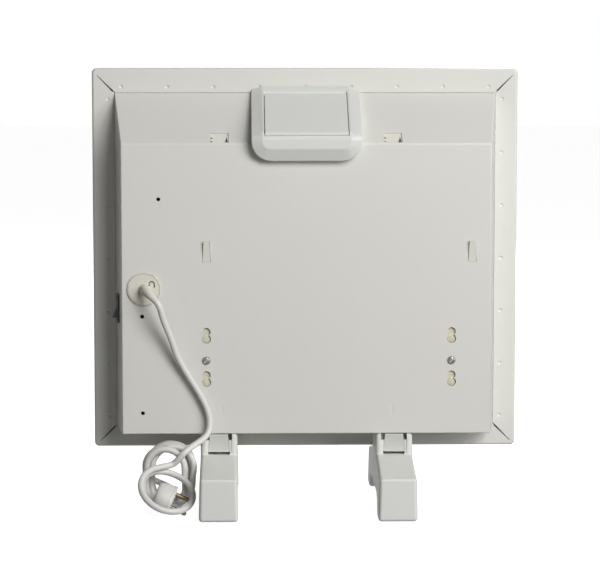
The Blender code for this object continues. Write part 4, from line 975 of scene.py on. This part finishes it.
def ease_shoulder(form):
    """Makes the housing's bevel gentler at its sides and steeper at its foot."""
    half, top = HOUSING_HIGH[0], HOUSING_HIGH[2]
    front, foot = HOUSING_LOW[1], HOUSING_LOW[2]
    upright = math.hypot(1, HOUSING_SLOPE)
    for vert in form.verts:
        x, y, z = vert.co
        on_side = abs(abs(x) - half) < FINE
        if abs(y - (HOUSING_BACK - HOUSING_BEVEL)) < FINE and z < LID_LOW[2] + OVERRUN:
            down = max(0, foot + HOUSING_CORNER - z)
            share = math.atan2(down, max(0, abs(x) - half + HOUSING_CORNER)) / (math.pi / 2)
            vert.co.y = HOUSING_BACK - (SIDE_BEVEL + (FOOT_BEVEL - SIDE_BEVEL) * share)
            if on_side and z > LID_LOW[2] - MM:
                vert.co.z = top - (vert.co.y - front) * HOUSING_SLOPE - SIDE_BEVEL * upright
        elif on_side and abs(y - front) < FINE and abs(z - (top - HOUSING_BEVEL * upright)) < NEAR:
            vert.co.z = top - SIDE_BEVEL * upright


def rounded_outline(points, radii):
    """A flat outline with each corner rounded to its own radius; the points are pairs."""
    outline = []
    count = len(points)
    for i, radius in enumerate(radii):
        before, corner, after = (Vector(points[(i + k) % count]) for k in (-1, 0, 1))
        if not radius:
            outline.append(corner)
            continue
        one = (before - corner).normalized()
        two = (after - corner).normalized()
        half = one.angle(two) / 2
        reach = radius / math.tan(half)
        centre = corner + (one + two).normalized() * (radius / math.sin(half))
        start = corner + one * reach - centre
        end = corner + two * reach - centre
        sweep = start.angle(end)
        for k in range(7):
            share = k / 6
            way = start * math.sin((1 - share) * sweep) + end * math.sin(share * sweep)
            outline.append(centre + way / math.sin(sweep))
    return outline


def inset_outline(corners, inset):
    """The rounded outline of a flat shape drawn in by a distance; each corner is a pair with its radius."""
    points = [Vector(corner[:2]) for corner in corners]
    count = len(points)
    turning = sum(points[i - 1].cross(points[i]) for i in range(count))
    way = 1 if turning > 0 else -1
    moved, radii = [], []
    for i, corner in enumerate(corners):
        one = (points[i] - points[i - 1]).normalized()
        two = (points[(i + 1) % count] - points[i]).normalized()
        inward = [Vector((-edge.y, edge.x)) * way for edge in (one, two)]
        moved.append(points[i] + (inward[0] + inward[1]) * (inset / (1 + inward[0].dot(inward[1]))))
        bulges = one.cross(two) * way > 0
        radii.append(corner[2] and max(LEAST_ROUND, corner[2] + (-inset if bulges else inset)))
    return rounded_outline(moved, radii)


def foot_block(x):
    """A foot before its latch pocket is cut: rounded all round, a little wider at the floor."""
    half = FOOT_HIGH[1]
    inner = half - PAD_LENGTH
    rail = RAIL_TOP - GAP
    flange = PANEL_BACK + GAP
    corners = (
        (half, 0, SOLE_ROUND), (half, TOE_REAR_HEIGHT, TOE_ROUND), (LATCH_BACK, CROWN_HEIGHT, RAIL_ROUND),
        (LATCH_BACK, rail, 0), (flange, rail, 0), (flange, PANEL_LOW[2] - PANEL_CLEARANCE, 0),
        (PANEL_LOW[1], FRONT_CROWN_HEIGHT, ARCH_ROUND), (-half, TOE_FRONT_HEIGHT, SOLE_ROUND),
        (-half, 0, SOLE_ROUND), (-inner, 0, SOLE_ROUND), (-inner + ARCH_SPLAY, ARCH_SHOULDER, ARCH_ROUND),
        (-inner + 3 * ARCH_SPLAY, ARCH_HEIGHT, ARCH_TOP_ROUND),
        (inner - 3 * ARCH_SPLAY, ARCH_HEIGHT, ARCH_TOP_ROUND),
        (inner - ARCH_SPLAY, ARCH_SHOULDER, ARCH_ROUND), (inner, 0, SOLE_ROUND),
    )
    sections = []
    for side in (-1, 1):
        for angle in QUARTER[::-side]:
            inset = FOOT_EDGE * (1 - math.sin(angle))
            out = FOOT_HALF - FOOT_EDGE * (1 - math.cos(angle))
            sections.append([Vector((side * out, y, z)) for y, z in inset_outline(corners, inset)])
    for section in sections:
        for point in section:
            rise = min(1, point.z / FOOT_TAPER_TOP)
            point.x = x + point.x * (1 - rise * FOOT_TAPER / FOOT_HALF)
    return form_of(loft, sections)


def build_foot(name):
    x = sum(corner[0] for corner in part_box(f"foot_{name}")) / 2
    left, right = x - SHOULDER_HALF, x + SHOULDER_HALF
    back, top = LATCH_BACK + OVERRUN, RAIL_TOP + OVERRUN
    ends = (POCKET_FOOT_HALF, CROWN_HEIGHT), (POCKET_TOP_HALF, top)
    pocket = form_of(wedge_form, x, *ends, LATCH_BACK - POCKET_DEPTH, back)
    round_edges(pocket, low_edges(pocket, CROWN_HEIGHT + MM), POCKET_ROUND)
    low = (left, LATCH_BACK - SHOULDER_RECESS, CROWN_HEIGHT + SHOULDER_RECESS)
    recess = form_of(box_form, low, (right, back, top))
    low = (left, LATCH_BACK - POCKET_DEPTH / 2, RAIL_TOP - SHOULDER_HEIGHT)
    shoulder = form_of(box_form, low, (right, back, top))
    axle = Vector((left, LATCH_BACK - AXLE_IN, RAIL_TOP - AXLE_DROP))
    seat = form_of(turned, axle, ACROSS, ((0, AXLE_ROOM), (right - left, AXLE_ROOM)), sides=24)
    form = carved(foot_block(x), pocket, recess, shoulder, seat)
    low = (x - TAB_HALF, PANEL_BACK + TAB_FRONT, RAIL_TOP - OVERRUN)
    box_form(form, low, (x + TAB_HALF, PANEL_BACK + TAB_BACK, FOOT_HIGH[2]))
    # The foot is painted lighter than the housing, as painted light.
    add_shell(f"foot_{name}", form, "white_plastic_painted_light", recalculate=False)


def build_latch(name):
    """A latch with a scooped face that a finger presses, on its barrel."""
    node = f"foot_latch_{name}"
    low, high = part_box(node)
    x = (low[0] + high[0]) / 2
    foot = CROWN_HEIGHT + LATCH_LIFT
    ends = (POCKET_FOOT_HALF - LATCH_CLEARANCE, foot), (POCKET_TOP_HALF - LATCH_CLEARANCE, high[2])
    tongue = form_of(wedge_form, x, *ends, LATCH_BACK - LATCH_THICK, LATCH_BACK)
    bmesh.ops.recalc_face_normals(tongue, faces=tongue.faces[:])
    round_edges(tongue, low_edges(tongue, foot + MM), LATCH_ROUND)
    rim = [edge for edge in tongue.edges if min(vert.co.y for vert in edge.verts) > LATCH_BACK - FINE / 2]
    round_edges(tongue, rim, LATCH_EASE)
    centre = Vector((x - SHOULDER_HALF, LATCH_BACK + SCOOP_RADIUS - SCOOP_DEPTH, foot + SCOOP_LIFT))
    scoop = ((0, SCOOP_RADIUS), (2 * SHOULDER_HALF, SCOOP_RADIUS))
    form = carved(tongue, form_of(turned, centre, ACROSS, scoop, sides=200))
    axle = Vector((low[0], LATCH_BACK - AXLE_IN, RAIL_TOP - AXLE_DROP))
    radius = AXLE_ROOM - GAP
    turned(form, axle, ACROSS, ((0, radius), (high[0] - low[0], radius)), sides=24)
    low = (x - WEB_HALF, axle.y, axle.z - radius)
    box_form(form, low, (x + WEB_HALF, LATCH_BACK - WEB_BACK, axle.z + radius))
    # The latch is painted a shade darker than the feet, as painted shade.
    add_shell(node, form, "latch_plastic_painted_shade")


def build_screw(name, x):
    """A slotted screw's domed head on its shank, with a plate at the slot's floor that carries a painted
    reflection.
    """
    place = Vector((x, COVER_BACK + GAP, SCREW_HEIGHT))
    slant = Matrix.Rotation(SCREW_TURN, 3, DEEP)
    axes = (slant @ ACROSS, DEEP, slant @ UP)
    profile = [*SHANK_PROFILE, (0, SCREW_RADIUS)]
    for angle in QUARTER:
        rise = SCREW_WALL_SHARE + (1 - SCREW_WALL_SHARE) * math.sin(angle)
        wide = SCREW_FLAT_SHARE + (1 - SCREW_FLAT_SHARE) * math.cos(angle)
        profile.append((SCREW_PROUD * rise, SCREW_RADIUS * wide))
    head = form_of(turned, place, DEEP, profile, sides=36)
    reach = SCREW_RADIUS + OVERRUN
    depth = SCREW_PROUD - SLOT_DEPTH
    high = (SLOT_HALF, SCREW_PROUD + OVERRUN, reach)
    slot = form_of(box_form, (-SLOT_HALF, depth, -reach), high, place, axes)
    add_shell(name, carved(head, slot), "zinc")
    # The slot's floor is a pale plate: a painted reflection.
    low = (-SLOT_GLINT_HALF, depth - GAP, -SLOT_GLINT_LENGTH / 2)
    high = (SLOT_GLINT_HALF, depth + GAP, SLOT_GLINT_LENGTH / 2)
    bright = form_of(box_form, low, high, place, axes)
    add_form(f"{name}_slot", bright, BODY_OF[name], "zinc_painted_reflection")


def build_shield():
    """The cream shield, with a raised pad behind every keyhole and behind each hook slot."""
    form = bmesh.new()
    form.from_mesh(NODES["heat_shield"].data)
    dome = [(0, DOME_FOOT_RADIUS)]
    for angle in QUARTER:
        dome.append((DOME_WALL + DOME_RISE * math.sin(angle), TIP_RADIUS + DOME_RADIUS * math.cos(angle)))
    for x in HANGERS:
        for height in ENTRY_HEIGHTS:
            place = Vector((x, COVER_BACK - SHEET - SHIELD_GAP - GAP, height))
            turned(form, place + UP * KEYHOLE_STEP, DEEP, PAD_PROFILE, sides=32)
            turned(form, place, DEEP, dome, sides=32)
    body = BODY_OF["heat_shield"]
    add_form("heat_shield_shell", form, body, "shield_cream", ("heat_shield",))
    pads = bmesh.new()
    for side in (-1, 1):
        crease = Vector((side * HOOK_ACROSS, COVER_BACK, COVER_HIGH[2] - COVER_RIM - SLOPE_DROP))
        outline = [crease + ACROSS * (u * MM) + SLOPE_UP * (v * MM) for u, v in HOOK_PAD]
        loft(pads, [[point + SLOPE_OUT * level for point in outline] for level in HOOK_PAD_LEVELS])
    # The pads are painted a lighter cream than the shield, as painted light against the slots' shade.
    add_form("shield_hook_pads", pads, body, "pad_cream_painted_light")


def arched_mark():
    """An arch with two uneven legs, to be cut into the disc's face."""
    arc = [Vector((math.cos(18 * k * DEGREE), math.sin(18 * k * DEGREE))) for k in range(11)]
    path = [Vector((1, -MARK_LEGS[0])), *arc, Vector((-1, -MARK_LEGS[1]))]
    face = DISC_CENTRE + MARK_CENTRE + DEEP * (GAP + DISC_FLANGE)
    sections = []
    for i, spot in enumerate(path):
        way = (path[min(i + 1, len(path) - 1)] - path[max(i - 1, 0)]).normalized()
        aside = Vector((-way.y, way.x)) * MARK_HALF
        spot = spot * MARK_RADIUS
        sections.append([
            face + ACROSS * (spot.x + aside.x * wide) + UP * (spot.y + aside.y * wide) + DEEP * depth
            for wide, depth in ((-1, -MARK_DEPTH), (1, -MARK_DEPTH), (1, OVERRUN), (-1, OVERRUN))
        ])
    return form_of(loft, sections)


def build_disc():
    """The cable disc with its rounded rim, a groove inside it and the arched mark beside the boot."""
    face = GAP + DISC_FLANGE
    profile = [
        (-BARREL_DEPTH, BARREL_RADIUS), (GAP, BARREL_RADIUS),
        (GAP, DISC_RADIUS - DISC_FOOT_EASE), (GAP + DISC_FOOT_EASE, DISC_RADIUS),
    ]
    for angle in QUARTER:
        along = face - DISC_EDGE_DEPTH * (1 - math.sin(angle))
        profile.append((along, DISC_RADIUS - DISC_EDGE_WIDTH * (1 - math.cos(angle))))
    profile += [(face - depth * MM, radius * MM) for radius, depth in DISC_GROOVE]
    disc = form_of(turned, DISC_CENTRE, DEEP, profile, sides=72)
    add_shell("cable_disc", carved(disc, arched_mark()), "cream_plastic")


def knob_ring(place, rise, radius, flute):
    """One round of the knob, waved by the depth of its flutes."""
    ring = []
    for i in range(KNOB_SIDES):
        angle = 2 * math.pi * i / KNOB_SIDES
        reach = radius - flute * (1 + math.cos(KNOB_FLUTES * angle)) / 2
        way = ACROSS * math.sin(angle) + DECK_BACK * math.cos(angle)
        ring.append(place + DECK_OUT * (rise * MM) + way * (reach * MM))
    return ring


def build_knob():
    """The thermostat knob: a fluted grip on a thin skirt, numbered on top, with a fixed mark beside it."""
    place = KNOB_PLACE + DECK_OUT * GAP
    form = form_of(loft, [knob_ring(place, *step) for step in KNOB_STEPS])
    body = BODY_OF["thermostat_knob"]
    add_form("knob_shell", form, body, "white_plastic", replaces=("thermostat_knob",), angle=40)
    digits = bmesh.new()
    for k in range(DIGITS):
        shape = digit_mesh(str(k))
        up = ACROSS * math.sin(k * DIGIT_STEP) + DECK_BACK * math.cos(k * DIGIT_STEP)
        right = ACROSS * math.cos(k * DIGIT_STEP) - DECK_BACK * math.sin(k * DIGIT_STEP)
        turn = Matrix((right, up, DECK_OUT)).transposed().to_4x4()
        shape.transform(Matrix.Translation(place + up * DIGIT_RADIUS + DECK_OUT * DIGIT_RISE) @ turn)
        digits.from_mesh(shape)
        bpy.data.meshes.remove(shape)
    add_form("knob_digits", digits, body, "black_plastic", recalculate=False)
    mark = form_of(box_form, *KNOB_MARK, place, (ACROSS, DECK_BACK, DECK_OUT))
    add_form("knob_mark", mark, BODY_OF["control_housing"], "black_plastic")


def digit_mesh(text):
    curve = bpy.data.curves.new("digit", "FONT")
    curve.body = text
    curve.size = DIGIT_SIZE
    curve.offset = DIGIT_WEIGHT
    curve.extrude = DIGIT_THICK
    curve.align_x = "CENTER"
    curve.align_y = "CENTER"
    thing = placed("digit", curve)
    shape = evaluated_mesh(thing)
    bpy.data.batch_remove([thing, curve])
    return shape


def build_shells():
    build_panel()
    build_cover()
    build_tongues()
    refined(
        "control_housing", "white_plastic", on_housing_edge, HOUSING_EASE,
        segments=4, angle=32, reshape=ease_shoulder,
    )
    for name in ("left", "right"):
        build_foot(name)
        build_latch(name)
    build_screw("shield_screw_left", HANGERS[0])
    build_screw("shield_screw_right", HANGERS[1])
    build_shield()
    build_disc()
    build_knob()


def dress(node, finish, width=0.0, segments=3):
    """Gives a CAD node its finish, softly rounded edges and smooth shading."""
    thing = NODES[node]
    thing.data.materials.clear()
    thing.data.materials.append(MATERIALS[finish])
    thing.data.shade_smooth()
    weld = thing.modifiers.new("weld", "WELD")
    weld.merge_threshold = WELD
    if width:
        flat = thing.modifiers.new("flat", "DECIMATE")
        flat.decimate_type = "DISSOLVE"
        flat.angle_limit = FLAT_ANGLE
        ease = thing.modifiers.new("ease", "BEVEL")
        ease.width = width
        ease.segments = segments
        ease.limit_method = "ANGLE"
        ease.angle_limit = EASED_ANGLE
    split = thing.modifiers.new("split", "EDGE_SPLIT")
    split.split_angle = SPLIT_ANGLE
    even_shading(thing)


def dress_nodes():
    dress("outlet_grille", "white_enamel", 0.4 * MM, 2)
    # The lid is painted lighter than the housing, as painted light.
    dress("control_lid", "white_plastic_painted_light", 0.6 * MM)
    dress("cord_boot", "cream_plastic")
    dress("element_fins", "aluminium")
    dress("control_board", "circuit_board")
    dress("indicator_lens", "lens_red")
    for name in ("mode_button", "power_button"):
        dress(name, "black_plastic")
    for name in ("switch_body", "switch_rocker"):
        dress(name, "black_plastic", 0.4 * MM)
    for name in ("heating_element", "lid_hinge_pin", "element_bracket_left", "element_bracket_right"):
        dress(name, "steel")
    for name in ("element_bush_left", "element_bush_right", "thermal_cutout", "terminal_block"):
        dress(name, "ceramic")


build_camera()
build_lead()
build_world()
build_lamps()
build_floor()
build_shells()
dress_nodes()
